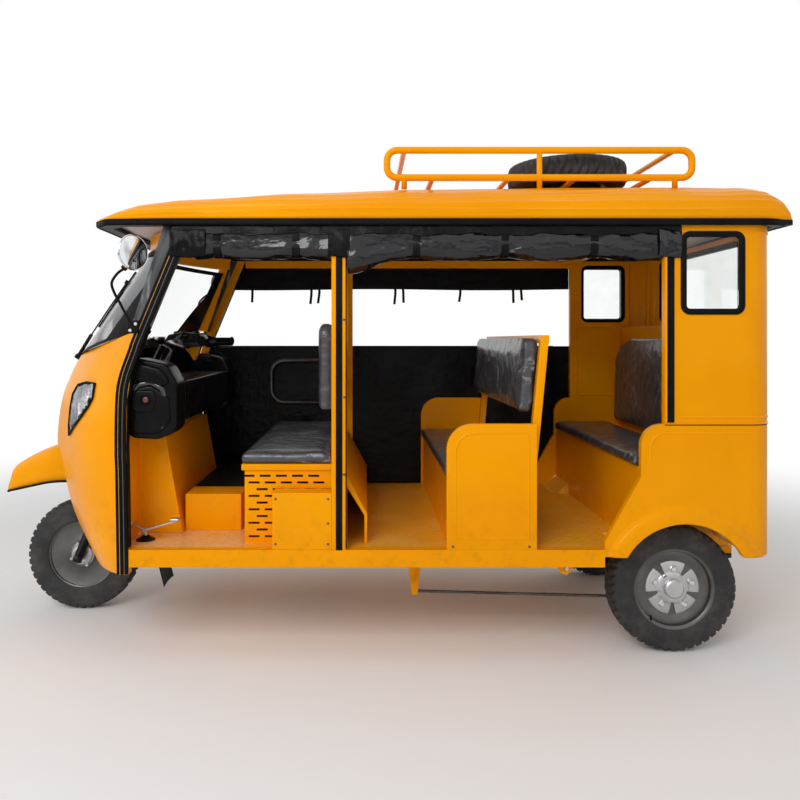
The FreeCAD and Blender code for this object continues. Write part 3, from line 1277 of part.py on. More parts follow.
leaves = springLeaves()
springs = shaped(Part.makeCompound([leaves, mirroredShape(leaves)]), "leaves")
leverX = rearAxleX - s.axle_tube_radius
leverZ = axleZ - s.drum_radius + s.panel
lever = block((leverX, leverX + s.panel), (-tubeHalf + s.sheet / 2, -s.crank_half + s.sheet),
              (leverZ - s.sheet, leverZ + s.sheet))
springSeat = pair(block((rearAxleX - s.axle_tube_radius, rearAxleX + s.axle_tube_radius),
                        (-springY - s.spring_width / 2, -springY + s.spring_width / 2),
                        (axleZ, springLow + s.spring_leaf)))
node(fused([axleTube, stub, diff, plates, springs, springSeat, lever], "rear_axle"), "rear_axle")
shaftEnd = rearAxleX - s.diff_radius
shaftAxis = point(shaftEnd, 0, axleZ) - point(s.shaft_front_x, 0, s.engine_bottom + s.axle_tube_radius)
shaft = Part.makeCylinder(float(s.shaft_radius), shaftAxis.Length,
                          point(s.shaft_front_x, 0, s.engine_bottom + s.axle_tube_radius), shaftAxis)
engineTool = block((s.shaft_front_x - s.engine_length, s.shaft_front_x),
                   (-s.engine_half_width, s.engine_half_width),
                   (s.engine_bottom, s.engine_top))
node(cutAway(cutAway(shaped(shaft, "shaft"), engineTool),
             rod(s.diff_radius, s.diff_radius * 1.4, rearAxleX, -s.diff_radius * 0.7, axleZ, "y")),
     "propeller_shaft")
node(block((s.shaft_front_x - s.engine_length, s.shaft_front_x), (-s.engine_half_width, s.engine_half_width),
           (s.engine_bottom, s.engine_top)), "engine_block")
silencerX = s.middle_front_x
silencerZ = railLow - s.silencer_radius - s.seat_gap
silencer = rod(s.silencer_radius, s.silencer_length, silencerX, s.silencer_y, silencerZ, "x")
pipe = shaped(tube([point(s.shaft_front_x + s.seat_gap, s.silencer_y / 2, silencerZ + s.silencer_radius / 2),
                    point(silencerX / 2, s.silencer_y / 2, silencerZ),
                    point(silencerX, s.silencer_y, silencerZ),
                    point(silencerX + s.panel, s.silencer_y, silencerZ)], s.grip_radius, s.mirror_radius),
              "pipe")
node(cutAway(fused([silencer, pipe], "exhaust_parts"), engineTool), "exhaust")

rodY = -s.crank_half + s.rod_radius + s.seat_gap
rodStart = point(s.crank_x, rodY, crankLow + s.sheet)
rodEnd = point(leverX - s.seat_gap, rodY, leverZ)
pull = Part.makeCylinder(float(s.rod_radius), (rodEnd - rodStart).Length, rodStart, rodEnd - rodStart)
node(shaped(pull, "brake_rod"), "brake_linkage")

doc.recompute()
os.makedirs("parts", exist_ok=True)
for thing in doc.Objects:
    if "Invalid" in thing.State or "Error" in thing.State:
        raise RuntimeError("%s (%s) is not built: %s" % (thing.Name, thing.Label, thing.State))
for thing in nodes:
    if thing.Shape.isNull() or not thing.Shape.isValid():
        raise RuntimeError("%s has no valid shape" % thing.Label)
for thing in nodes:
    thing.Shape.exportStep("parts/%s.step" % thing.Label)
    box = thing.Shape.BoundBox
    print("%-22s %2d solids  x %7.0f %7.0f  y %6.0f %6.0f  z %6.0f %6.0f" % (
        thing.Label, len(thing.Shape.Solids), box.XMin, box.XMax, box.YMin, box.YMax, box.ZMin, box.ZMax))
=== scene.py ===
import json
import math
import bmesh
import bpy
import numpy as np
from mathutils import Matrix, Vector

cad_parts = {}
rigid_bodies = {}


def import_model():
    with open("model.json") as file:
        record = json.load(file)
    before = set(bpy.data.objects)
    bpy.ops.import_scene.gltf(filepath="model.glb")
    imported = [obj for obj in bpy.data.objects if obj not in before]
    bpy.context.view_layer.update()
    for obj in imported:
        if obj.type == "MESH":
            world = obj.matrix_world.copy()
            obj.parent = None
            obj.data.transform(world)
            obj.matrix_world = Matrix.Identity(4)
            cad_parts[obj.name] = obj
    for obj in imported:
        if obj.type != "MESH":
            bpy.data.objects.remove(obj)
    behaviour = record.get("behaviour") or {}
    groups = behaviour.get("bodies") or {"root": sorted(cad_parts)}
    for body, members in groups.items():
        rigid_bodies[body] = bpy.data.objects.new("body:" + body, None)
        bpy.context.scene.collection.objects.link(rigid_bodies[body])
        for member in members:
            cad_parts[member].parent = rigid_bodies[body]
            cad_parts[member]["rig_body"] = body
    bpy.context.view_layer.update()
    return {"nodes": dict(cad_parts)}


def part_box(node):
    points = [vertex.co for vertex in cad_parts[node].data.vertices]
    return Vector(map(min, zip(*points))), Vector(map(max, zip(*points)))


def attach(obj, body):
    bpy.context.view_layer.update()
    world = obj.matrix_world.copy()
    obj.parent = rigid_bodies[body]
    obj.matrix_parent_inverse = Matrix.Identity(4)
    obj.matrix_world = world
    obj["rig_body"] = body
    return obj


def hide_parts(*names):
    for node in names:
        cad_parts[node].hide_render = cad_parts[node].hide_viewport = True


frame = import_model()
nodes = frame["nodes"]
scene = bpy.context.scene
print("packed frame loaded,", len(nodes), "nodes")


# Shader maths: arithmetic on a Wire adds Math nodes to its tree.
class Wire:
    def __init__(self, tree, socket):
        self.tree = tree
        self.socket = socket

    def maths(self, operation, first, second=0.0):
        return self.tree.node("ShaderNodeMath", {"operation": operation}, {0: first, 1: second})

    def __add__(self, other):
        return self.maths("ADD", self, other)

    def __sub__(self, other):
        return self.maths("SUBTRACT", self, other)

    def __rsub__(self, other):
        return self.maths("SUBTRACT", other, self)

    def __mul__(self, other):
        return self.maths("MULTIPLY", self, other)

    def __pow__(self, other):
        return self.maths("POWER", self, other)

    __radd__ = __add__
    __rmul__ = __mul__

    def abs(self):
        return self.maths("ABSOLUTE", self)

    def floor(self):
        return self.maths("FLOOR", self)

    def odd(self):  # 1 for an odd whole number, 0 for an even one
        return self.maths("PINGPONG", self, 1.0)

    def most(self, other):
        return self.maths("MAXIMUM", self, other)

    def ramp(self, low, high):  # smooth step from 0 at low to 1 at high
        return self.tree.node("ShaderNodeMapRange", {"interpolation_type": "SMOOTHSTEP"},
                              {"Value": self, "From Min": low, "From Max": high})


class Tree:
    def __init__(self, tree):
        self.tree = tree

    def feed(self, target, value):
        if isinstance(value, Wire):
            self.tree.links.new(value.socket, target)
        elif isinstance(value, (tuple, list)) and target.type == "RGBA":
            target.default_value = tuple(value) + (1,) * (4 - len(value))
        else:
            target.default_value = value

    def node(self, kind, settings={}, sockets={}, output=0):
        made = self.tree.nodes.new(kind)
        for name, value in settings.items():
            setattr(made, name, value)
        for key, value in sockets.items():
            self.feed(made.inputs[key], value)
        return Wire(self, made.outputs[output])


class Paint(Tree):
    def __init__(self, name, **constants):
        self.material = bpy.data.materials.new(name)
        self.material.use_nodes = True
        super().__init__(self.material.node_tree)
        self.shader = self.tree.nodes["Principled BSDF"]
        self.set(**constants)
        self.place = self.node("ShaderNodeTexCoord", output="Object")
        self.x, self.y, self.z = [self.node("ShaderNodeSeparateXYZ", {}, {0: self.place}, axis)
                                  for axis in range(3)]

    def mix(self, factor, first, second):
        return self.node("ShaderNodeMix", {"data_type": "RGBA"}, {0: factor, 6: first, 7: second}, 2)

    def noise(self, scale, detail=3, rough=0.5, stretch=None):
        coords = self.place
        if stretch:
            coords = self.node("ShaderNodeVectorMath", {"operation": "MULTIPLY"}, {0: coords, 1: stretch})
        return self.node("ShaderNodeTexNoise", {}, {
            "Vector": coords, "Scale": scale, "Detail": detail, "Roughness": rough})

    def bump(self, height, distance, strength=1.0, before=None):
        sockets = {"Height": height, "Distance": distance, "Strength": strength}
        if before:
            sockets["Normal"] = before
        return self.node("ShaderNodeBump", {}, sockets)

    def set(self, **inputs):
        for socket, value in inputs.items():
            self.feed(self.shader.inputs[socket.replace("_", " ")], value)
        return self.material


# Camera, lights and floor.
cameraSetting = {"place": (0.015, -3.42, 1.271), "lens": 32.175, "shiftX": 0.04375, "shiftY": -0.075}
lightSetting = {
    "worldStrength": 0.46,
    # name: power, place, aim, size
    "keyLight": (192, (-2.2, -5.4, 4.3), (0, 0, 0.8), 3.2),
    "frontLight": (34, (-6.5, -1.0, 2.6), (-1, 0, 0.9), 3.0),
    "topLight": (20, (0.5, -0.8, 6.0), (0.3, 0, 1), 4.5),
    "rearLight": (24, (6.0, 3.5, 3.5), (1, 0, 1), 3.0)}
floorSetting = {"half": 30, "colour": (0.95, 0.95, 0.95), "near": 2.4, "far": 6.0}


def linked(name, data):
    made = bpy.data.objects.new(name, data)
    scene.collection.objects.link(made)
    return made


camera = linked("camera", bpy.data.cameras.new("camera"))
camera.location = cameraSetting["place"]
camera.rotation_euler = (math.pi / 2, 0, 0)
camera.data.lens = cameraSetting["lens"]
camera.data.shift_x = cameraSetting["shiftX"]
camera.data.shift_y = cameraSetting["shiftY"]
scene.camera = camera
scene.view_settings.view_transform = "Standard"


def areaLight(name, power, place, aim, size):
    light = linked(name, bpy.data.lights.new(name, "AREA"))
    light.data.energy = power
    light.data.size = size
    way = np.array(aim, float) - np.array(place, float)
    flat = math.hypot(way[0], way[1])
    light.location = place
    light.rotation_euler = (math.atan2(flat, -way[2]), 0, math.atan2(way[1], way[0]) - math.pi / 2)


for name, setting in lightSetting.items():
    if name != "worldStrength":
        areaLight(name, *setting)

# the backdrop is white to the camera and in reflections, and dimmer as a light
world = bpy.data.worlds.new("studio")
world.use_nodes = True
scene.world = world
sky = Tree(world.node_tree)
strength = lightSetting["worldStrength"]
for ray in ("Is Camera Ray", "Is Glossy Ray", "Is Transmission Ray"):
    strength = sky.node("ShaderNodeLightPath", output=ray).most(strength)
backdrop = world.node_tree.nodes["Background"]
sky.feed(backdrop.inputs["Color"], (1, 1, 1))
sky.feed(backdrop.inputs["Strength"], strength)

floorMesh = bpy.data.meshes.new("floor")
reach = floorSetting["half"]
floorMesh.from_pydata([(-reach, -reach, 0), (reach, -reach, 0), (reach, reach, 0), (-reach, reach, 0)], [],
                      [(0, 1, 2, 3)])
linked("floor", floorMesh)
paint = Paint("paleFloor", Base_Color=floorSetting["colour"], Roughness=0.9, Specular_IOR_Level=0.2)
away = (paint.x * paint.x + paint.y * paint.y) ** 0.5
glow = paint.node("ShaderNodeEmission", {}, {"Color": (1, 1, 1), "Strength": 1.0})
direct = paint.node("ShaderNodeLightPath", output="Is Camera Ray")
fade = away.ramp(floorSetting["near"], floorSetting["far"]) * direct
lit = Wire(paint, paint.shader.outputs[0])
shown = paint.node("ShaderNodeMixShader", {}, {0: fade, 1: lit, 2: glow})
paint.feed(paint.tree.nodes["Material Output"].inputs["Surface"], shown)
floorMesh.materials.append(paint.material)
print("camera, lights and floor set")


# Finishes. Colours are linear.
def yellowPaint():
    look = {"sun": (0.96, 0.365, 0.0), "shade": (0.90, 0.325, 0.0), "grime": (0.45, 0.16, 0.01)}
    paint = Paint("yellowPaint", Coat_Weight=0.10, Coat_Roughness=0.05, Specular_IOR_Level=0.17,
                  Specular_Tint=(1.0, 0.62, 0.1))
    cloud = paint.noise(1.9, 4, 0.55)
    speck = paint.noise(120, 2, 0.6)
    # darker patches of the same paint, mostly towards the bottom, with fine dark specks all over
    low = 1 - paint.z.ramp(0.25, 0.75)
    grime = low * paint.noise(14, 5, 0.7).ramp(0.48, 0.72) * 0.5 + speck.ramp(0.66, 0.78) * 0.12
    colour = paint.mix(cloud.ramp(0.35, 0.7), look["sun"], look["shade"])
    wave = paint.bump(paint.noise(3.2, 2, 0.4), 0.012, 0.35)
    peel = paint.bump(paint.noise(420, 1, 0.4), 0.0002, 0.35, wave)
    return paint.set(Base_Color=paint.mix(grime, colour, look["grime"]),
                     Roughness=0.26 + cloud * 0.12 + grime * 0.4, Normal=peel)


def plainPaint(name, colour, roughness, grain, depth, spread, metallic, coat, specular):
    # one base colour, clouded by noise, with a fine grain in the normal
    paint = Paint(name, Metallic=metallic, Coat_Weight=coat, Coat_Roughness=0.12, Specular_IOR_Level=specular)
    cloud = paint.noise(6, 4, 0.6)
    pale = tuple(min(1.0, c * (1 + spread) + 0.01 * spread) for c in colour)
    dark = tuple(c * (1 - spread) for c in colour)
    relief = paint.bump(paint.noise(grain, 3, 0.6), depth, 0.6)
    return paint.set(Base_Color=paint.mix(cloud.ramp(0.3, 0.7), dark, pale),
                     Roughness=roughness - 0.08 + paint.noise(30, 3, 0.6) * 0.16, Normal=relief)


def tyrePaint():
    look = {"rubber": (0.022, 0.022, 0.024), "dust": (0.10, 0.095, 0.085)}
    paint = Paint("tyreRubber", Specular_IOR_Level=0.35)
    fine = paint.noise(160, 2, 0.5).ramp(0.6, 0.75)
    dust = paint.noise(9, 5, 0.7).ramp(0.4, 0.75) * 0.55 + fine * 0.25
    return paint.set(Base_Color=paint.mix(dust, look["rubber"], look["dust"]), Roughness=0.62 + dust * 0.25,
                     Normal=paint.bump(paint.noise(300, 3, 0.6), 0.0004, 0.5))


def creased(paint, foldScale, grainScale):
    # sheet plastic: long soft creases, shorter folds and a fine leather grain in the normal
    crease = paint.noise(9, 4, 0.55, (1.0, 1.6, 2.4))
    fold = paint.noise(foldScale, 3, 0.5, (1.4, 1.0, 0.7))
    relief = paint.bump(fold, 0.006, 0.5, paint.bump(crease, 0.012, 0.5))
    return crease, fold, paint.bump(paint.noise(grainScale, 2, 0.5), 0.0002, 0.4, relief)


def curtainPaint():
    # matt black vinyl, with a painted sheen that makes it a little paler on the crests of the folds
    look = {"cloth": (0.0016, 0.0018, 0.0024), "rubbed": (0.00412, 0.00456, 0.00588)}
    paint = Paint("curtainVinyl", Specular_IOR_Level=0.14)
    crease, fold, relief = creased(paint, 26, 700)
    return paint.set(Base_Color=paint.mix(fold.ramp(0.6, 0.8) * 0.4, look["cloth"], look["rubbed"]),
                     Roughness=0.30 + crease * 0.15, Normal=relief)


def filmPaint():
    # glossy film: sharp creases where a noise crosses its middle value, long ones and short ones
    look = {"film": (0.004, 0.004, 0.006), "dust": (0.045, 0.045, 0.05)}
    paint = Paint("curtainFilm", Specular_IOR_Level=0.55)
    warp = paint.noise(7, 3, 0.5, (0.6, 1.5, 1.5))
    long = paint.noise(6.5, 2, 0.45, (0.6, 1.5, 1.5))
    short = paint.noise(17, 2, 0.5, (0.8, 1.2, 1.2))
    ridge = 1 - (long - 0.5).abs() * 8
    pleat = 1 - (short - 0.5).abs() * 5
    dust = paint.noise(60, 4, 0.6).ramp(0.55, 0.8) * 0.25
    relief = paint.bump(ridge, 0.008, 0.55, paint.bump(warp, 0.03, 0.6))
    return paint.set(Base_Color=paint.mix(dust, look["film"], look["dust"]),
                     Roughness=0.13 + dust * 0.5 + warp * 0.06, Normal=paint.bump(pleat, 0.0030, 0.5, relief))


def seatPaint():
    # vinyl under a clear wrap: soft creases; pale lines along the thin crossings of a noise are painted
    # highlights of the wrap, and pale specks are scuffs, both in patches
    look = {"vinyl": (0.052, 0.053, 0.060), "scuff": (0.42, 0.42, 0.43)}
    paint = Paint("seatVinyl", Coat_Weight=0.25, Coat_Roughness=0.1, Specular_IOR_Level=0.5)
    crease, fold, relief = creased(paint, 24, 600)
    line = 1 - ((paint.noise(13, 4, 0.6, (0.7, 1.4, 1.2)) - 0.5).abs() * 26).ramp(0.0, 1.0)
    patch = paint.noise(5, 3, 0.6).ramp(0.45, 0.62)
    scuff = line * patch * 0.55 + paint.noise(170, 3, 0.6).ramp(0.6, 0.75) * patch * 0.3
    return paint.set(Base_Color=paint.mix(scuff, look["vinyl"], look["scuff"]),
                     Roughness=0.24 + crease * 0.15 + scuff * 0.3, Normal=relief)


def platePaint():
    # floor sheet with raised lens-shaped treads, turned one way and the other in turn
    look = {"sun": (0.95, 0.44, 0.02), "worn": (0.86, 0.46, 0.11), "film": (0.90, 0.54, 0.25)}
    size = {"pitch": 0.034, "long": 0.40, "thin": 0.13, "rise": 0.0036}
    paint = Paint("treadPlate", Coat_Weight=0.15, Coat_Roughness=0.2, Specular_IOR_Level=0.3)
    turned = math.sqrt(0.5) / size["pitch"]
    u, v = (paint.x + paint.y) * turned, (paint.x - paint.y) * turned
    cellU, cellV = u.floor(), v.floor()
    odd = (cellU + cellV).odd()
    du, dv = u - cellU - 0.5, v - cellV - 0.5
    along = du * odd + dv * (1 - odd)
    across = dv * odd + du * (1 - odd)
    shape = (along * (1 / size["long"])) ** 2.0 + (across * (1 / size["thin"])) ** 2.0
    lens = 1 - shape.ramp(0.6, 1.1)
    dirt = paint.noise(7, 5, 0.7).ramp(0.45, 0.75) * (1 - lens * 0.6) * 0.6
    film = (paint.x * -1).ramp(0.42, 0.50) * paint.noise(9, 3, 0.6).ramp(0.25, 0.5) * 0.75
    colour = paint.mix(film, paint.mix(dirt, look["sun"], look["worn"]), look["film"])
    return paint.set(Base_Color=colour, Roughness=0.32 + dirt * 0.3 - film * 0.1,
                     Normal=paint.bump(lens * (1 - film), size["rise"], 1.0))


def clearPaint(name, colour):
    paint = Paint(name, Transmission_Weight=1.0, IOR=1.35)
    smear = paint.noise(5, 4, 0.6)
    return paint.set(Base_Color=paint.mix(smear.ramp(0.4, 0.8), colour, tuple(c * 0.93 for c in colour)),
                     Roughness=0.03 + smear * 0.03)


def streaked(paint, scale, detail, rough, stretch, low, high):
    return paint.noise(scale, detail, rough, (stretch[0], stretch[0], stretch[1])).ramp(low, high)


def shieldPaint():
    # clear glass; its near cheek has a painted reflection: grey, with pale upright streaks
    look = {"clear": (0.97, 0.98, 0.98), "smoke": (0.20, 0.205, 0.215), "streak": (0.62, 0.63, 0.65)}
    paint = Paint("shieldPane", Transmission_Weight=1.0, IOR=1.25)
    side = (paint.y * -1).ramp(0.16, 0.40)
    smoke = paint.mix(streaked(paint, 5, 3, 0.5, (2.2, 0.5), 0.52, 0.64), look["smoke"], look["streak"])
    return paint.set(Base_Color=paint.mix(side, look["clear"], smoke), Roughness=0.03 + side * 0.12)


def cheekPaint():
    # dark film over the posts beside the windshield, with painted reflections: pale streaks where a drawn-out
    # noise is high
    look = {"film": (0.085, 0.088, 0.094), "streak": (0.42, 0.43, 0.45)}
    paint = Paint("cheekFilm", Specular_IOR_Level=0.3)
    streak = streaked(paint, 9, 3, 0.55, (2.4, 0.45), 0.50, 0.68)
    return paint.set(Base_Color=paint.mix(streak, look["film"], look["streak"]), Roughness=0.3 - streak * 0.1,
                     Normal=paint.bump(streak, 0.002, 0.5))


def lampPaint():
    # bright reflector: fine facets in the normal, and painted dark reflections in pockets where a coarse
    # noise is low
    look = {"pocket": (0.24, 0.24, 0.27), "silver": (0.92, 0.92, 0.95)}
    paint = Paint("lampSilver", Metallic=0.2, Specular_IOR_Level=0.8)
    pocket = streaked(paint, 38, 2, 0.5, (1.0, 0.6), 0.36, 0.50)
    return paint.set(Base_Color=paint.mix(pocket, look["pocket"], look["silver"]),
                     Roughness=0.18 + pocket * 0.1,
                     Normal=paint.bump(paint.noise(90, 1, 0.4, (1.0, 1.0, 0.35)), 0.004, 0.7))


def mirrorPaint():
    # the face's colour has painted reflections: dull and bright streaks of a drawn-out noise
    look = {"dull": (0.22, 0.225, 0.23), "bright": (0.80, 0.81, 0.82)}
    paint = Paint("mirrorFace", Metallic=1.0)
    haze = paint.noise(20, 4, 0.6).ramp(0.5, 0.9)
    return paint.set(Base_Color=paint.mix(streaked(paint, 16, 2, 0.5, (1.2, 0.5), 0.36, 0.62),
                                          look["dull"], look["bright"]), Roughness=0.02 + haze * 0.06)


finishes = {
    "yellow_paint": yellowPaint(), "tyre_rubber": tyrePaint(), "seat_vinyl": seatPaint(),
    "curtain_vinyl": curtainPaint(), "curtain_film": filmPaint(), "tread_plate": platePaint(),
    "window_pane": clearPaint("windowPane", (0.97, 0.99, 0.98)),
    "lamp_lens": clearPaint("lampLens", (0.98, 0.98, 1.0)), "shield_pane": shieldPaint(),
    "cheek_film": cheekPaint(), "lamp_silver": lampPaint(), "mirror_face": mirrorPaint()}
plainFinishes = {
    # finish: colour, roughness, grain scale, grain depth, spread of the cloud, metallic, coat, specular
    "black_paint": ("blackPaint", (0.008, 0.008, 0.009), 0.34, 160, 0.0004, 0.25, 0, 0, 0.3),
    "cream_paint": ("creamPaint", (0.78, 0.70, 0.66), 0.5, 160, 0.0003, 0.06, 0, 0, 0.5),
    "dark_trim": ("darkTrim", (0.005, 0.005, 0.005), 0.34, 420, 0.0003, 0.25, 0, 0, 0.10),
    "seal_rubber": ("sealRubber", (0.004, 0.004, 0.004), 0.5, 300, 0.0004, 0.25, 0, 0, 0.07),
    "rim_steel": ("rimSteel", (0.115, 0.112, 0.11), 0.36, 240, 0.0003, 0.2, 0.75, 0.1, 0.5),
    "bare_metal": ("bareMetal", (0.50, 0.50, 0.51), 0.34, 220, 0.0003, 0.12, 0.9, 0, 0.5),
    "cast_metal": ("castMetal", (0.10, 0.10, 0.10), 0.6, 180, 0.0012, 0.3, 0.5, 0, 0.5),
    "tail_lens": ("tailLens", (0.50, 0.008, 0.006), 0.14, 900, 0.0002, 0.2, 0, 0, 0.6),
    "amber_lens": ("amberLens", (0.80, 0.22, 0.01), 0.14, 900, 0.0002, 0.2, 0, 0, 0.6),
    "glossy_trim": ("glossyTrim", (0.0015, 0.0015, 0.0018), 0.3, 26, 0.003, 0.25, 0, 0, 0.12),
    "wet_trim": ("wetTrim", (0.003, 0.003, 0.004), 0.16, 26, 0.003, 0.25, 0, 0, 0.9),
    "chrome": ("chrome", (0.72, 0.72, 0.73), 0.12, 500, 0.0001, 0.05, 1.0, 0, 0.5),
    "gold_strip": ("goldStrip", (0.75, 0.42, 0.12), 0.25, 300, 0.0002, 0.1, 0.7, 0, 0.5),
    "grey_strip": ("greyStrip", (0.16, 0.15, 0.14), 0.4, 300, 0.0002, 0.1, 0.1, 0, 0.5),
    "red_plastic": ("redPlastic", (0.20, 0.004, 0.006), 0.25, 400, 0.0002, 0.25, 0, 0.5, 0.5),
    "dark_steel": ("darkSteel", (0.09, 0.088, 0.085), 0.4, 200, 0.0004, 0.3, 0.8, 0, 0.5)}
finishes.update({finish: plainPaint(*look) for finish, look in plainFinishes.items()})
# each slot of the packed nodes gets the finish that its material is named after
for name, part in nodes.items():
    for slot in part.material_slots:
        kind = slot.material.name.split(".")[0]
        if kind in finishes:
            slot.material = finishes[kind]
        else:
            print("no finish for", name, kind)
# three nodes show another finish than their slot's own
for name, finish in {"brake_linkage": "dark_steel", "guard_rail": "dark_steel",
                     "windshield_glass": "shield_pane"}.items():
    nodes[name].material_slots[0].material = finishes[finish]
print("finishes made and given to the packed nodes")


# Shapes: each is (points, faces) worked out with numpy, and piece() puts a list of them into one mesh.
def grid(points, wrapU=False, wrapV=False, capU=False):
    # points is an array (u, v, 3); its neighbours along u and v are joined by four-sided faces
    countU, countV = points.shape[:2]
    index = np.arange(countU * countV).reshape(countU, countV)
    if wrapU:
        index = np.vstack([index, index[:1]])
    if wrapV:
        index = np.hstack([index, index[:, :1]])
    faces = np.stack([index[:-1, :-1], index[1:, :-1], index[1:, 1:], index[:-1, 1:]], -1)
    faces = faces.reshape(-1, 4).tolist()
    if capU:
        faces += [index[0, :countV].tolist(), index[-1, :countV][::-1].tolist()]
    return points.reshape(-1, 3), faces


def smoothLine(corners, count):
    # a Catmull-Rom line through the corners, sampled evenly by its parameter
    corners = np.array(corners, float)
    padded = np.vstack([2 * corners[0] - corners[1], corners, 2 * corners[-1] - corners[-2]])
    t = np.linspace(0, len(corners) - 1 - 1e-9, count)
    k = t.astype(int)
    f = (t - k)[:, None]
    a, b, c, d = padded[k], padded[k + 1], padded[k + 2], padded[k + 3]
    bend, twist = 2 * a - 5 * b + 4 * c - d, 3 * b - a - 3 * c + d
    return 0.5 * (2 * b + (c - a) * f + bend * f ** 2 + twist * f ** 3)


def roundedLine(corners, radius, steps=6, closed=False):
    # straight runs whose corners are replaced by arcs of the radius
    corners = [np.array(corner, float) for corner in corners]
    count = len(corners)
    line = [] if closed else [corners[0]]
    for i in (range(count) if closed else range(1, count - 1)):
        corner, before, after = corners[i], corners[i - 1], corners[(i + 1) % count]
        back, ahead = before - corner, after - corner
        room = min(np.linalg.norm(back), np.linalg.norm(ahead)) * 0.49
        back, ahead = back / np.linalg.norm(back), ahead / np.linalg.norm(ahead)
        half = math.acos(max(-1.0, min(1.0, float(back @ ahead)))) / 2
        if half > 1.55:
            line.append(corner)
            continue
        reachBack = min(room, radius / math.tan(half))
        bend = reachBack * math.tan(half)
        centre = corner + (back + ahead) / np.linalg.norm(back + ahead) * bend / math.sin(half)
        first, last = corner + back * reachBack - centre, corner + ahead * reachBack - centre
        turn = np.linspace(0, 1, steps + 1)[:, None] * (math.pi - 2 * half)
        side = last - first * math.cos(math.pi - 2 * half)
        side = side / np.linalg.norm(side) * bend
        line += list(centre + first * np.cos(turn) + side * np.sin(turn))
    if not closed:
        line.append(corners[-1])
    return np.array(line)


def frames(path, closed=False, up=(0, 0, 1)):
    # the two side directions at each point of a path, carried along it without twist
    ahead = np.roll(path, -1, 0) - np.roll(path, 1, 0)
    if not closed:
        ahead[0], ahead[-1] = path[1] - path[0], path[-1] - path[-2]
    ahead /= np.linalg.norm(ahead, axis=1)[:, None]
    side = np.cross(ahead, np.array(up, float))
    weak = np.linalg.norm(side, axis=1) < 1e-6
    side[weak] = np.cross(ahead[weak], (1.0, 0.02, 0.0))
    side /= np.linalg.norm(side, axis=1)[:, None]
    return side, np.cross(side, ahead)


def carried(path, profile, closed=False, up=(0, 0, 1)):
    # a closed profile of (sideways, upward) points carried along a path, with flat ends
    path, profile = np.array(path, float), np.array(profile, float)
    side, rise = frames(path, closed, up)
    points = path[:, None] + side[:, None] * profile[None, :, :1] + rise[:, None] * profile[None, :, 1:]
    return grid(points, wrapU=closed, wrapV=True, capU=not closed)


def ringProfile(radius, steps=12):
    turn = np.linspace(0, 2 * math.pi, steps, endpoint=False)
    return np.stack([radius * np.cos(turn), radius * np.sin(turn)], -1)


def bar(path, radius, steps=12):
    return carried(path, ringProfile(radius, steps))


def turnedForm(profile, centre, axis="y", steps=48, closed=False):
    # (radius, distance) points turned about an axis through the centre
    profile = np.array(profile, float)
    turn = np.linspace(0, 2 * math.pi, steps, endpoint=False)[:, None]
    r, d = profile[None, :, 0], profile[None, :, 1] + turn * 0
    across, along = r * np.cos(turn), r * np.sin(turn)
    order = {"x": (d, across, along), "y": (across, d, along), "z": (across, along, d)}[axis]
    return grid(np.stack(order, -1) + np.array(centre, float), wrapU=True, wrapV=closed)


def roundedBox(low, high, radius, steps=3):
    # rings of a rounded rectangle, drawn in towards both flat ends like a quarter circle
    low, high = np.array(low, float), np.array(high, float)
    size = high - low
    thin = int(np.argmin(size))
    u, v = [axis for axis in range(3) if axis != thin]
    radius = min(radius, size[thin] * 0.49)
    turn = np.linspace(0, math.pi / 2, steps + 1)
    angle = np.concatenate([turn + quarter * math.pi / 2 for quarter in range(4)])
    corners = np.repeat([(1, 1), (-1, 1), (-1, -1), (1, -1)], steps + 1, axis=0)
    reach = radius * np.concatenate([np.sin(turn), np.cos(turn[1:])])[:, None]
    depth = np.concatenate([radius * (1 - np.cos(turn)), size[thin] - radius * (1 - np.sin(turn[1:]))])
    rings = np.zeros((len(depth), len(angle), 3))
    for axis, corner, arc in ((u, corners[:, 0], np.cos(angle)), (v, corners[:, 1], np.sin(angle))):
        rings[..., axis] = (low[axis] + high[axis]) / 2 + corner * (size[axis] / 2 - radius) + arc * reach
    rings[..., thin] = low[thin] + depth[:, None]
    return grid(rings, wrapV=True, capU=True)


def mirroredForm(form):
    points, faces = form
    return points * (1, -1, 1), [face[::-1] for face in faces]


def bothSides(forms):
    return forms + [mirroredForm(form) for form in forms]


def merged(mesh, change=None):
    # doubles joined and normals turned outwards, then a change to the faces where one is given
    work = bmesh.new()
    work.from_mesh(mesh)
    bmesh.ops.remove_doubles(work, verts=work.verts, dist=1e-6)
    bmesh.ops.recalc_face_normals(work, faces=work.faces)
    if change:
        change(work)
    work.to_mesh(mesh)
    work.free()
    return mesh


def placed(name, mesh, body="chassis", finish=None, instead=None, sharp=None):
    # edges past the sharp angle in degrees stay crisp; 0 leaves the whole mesh flat
    mesh.polygons.foreach_set("use_smooth", [sharp != 0] * len(mesh.polygons))
    if sharp:
        mesh.set_sharp_from_angle(angle=math.radians(sharp))
    made = linked(name, mesh)
    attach(made, body)
    if finish:
        mesh.materials.clear()
        mesh.materials.append(finishes[finish])
    if instead:
        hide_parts(instead)
    return made


def piece(name, forms, finish, body="chassis", sharp=35, closed=True, instead=None, slot=None):
    forms = forms if isinstance(forms, list) else [forms]
    mesh = bpy.data.meshes.new(name)
    starts = np.cumsum([0] + [len(points) for points, _ in forms])
    faces = [[i + int(start) for i in face] for (_, some), start in zip(forms, starts) for face in some]
    mesh.from_pydata(np.vstack([points for points, _ in forms]).tolist(), [], faces)
    if closed:
        merged(mesh)
    return placed(name, mesh, body, finish, instead, sharp)


def walled(made, thickness, offset=0.0):
    # a wall for an open sheet: -1 puts it behind the faces, 1 in front of them, 0 on both sides
    wall = made.modifiers.new("wall", "SOLIDIFY")
    wall.thickness = thickness
    wall.offset = offset
    return made


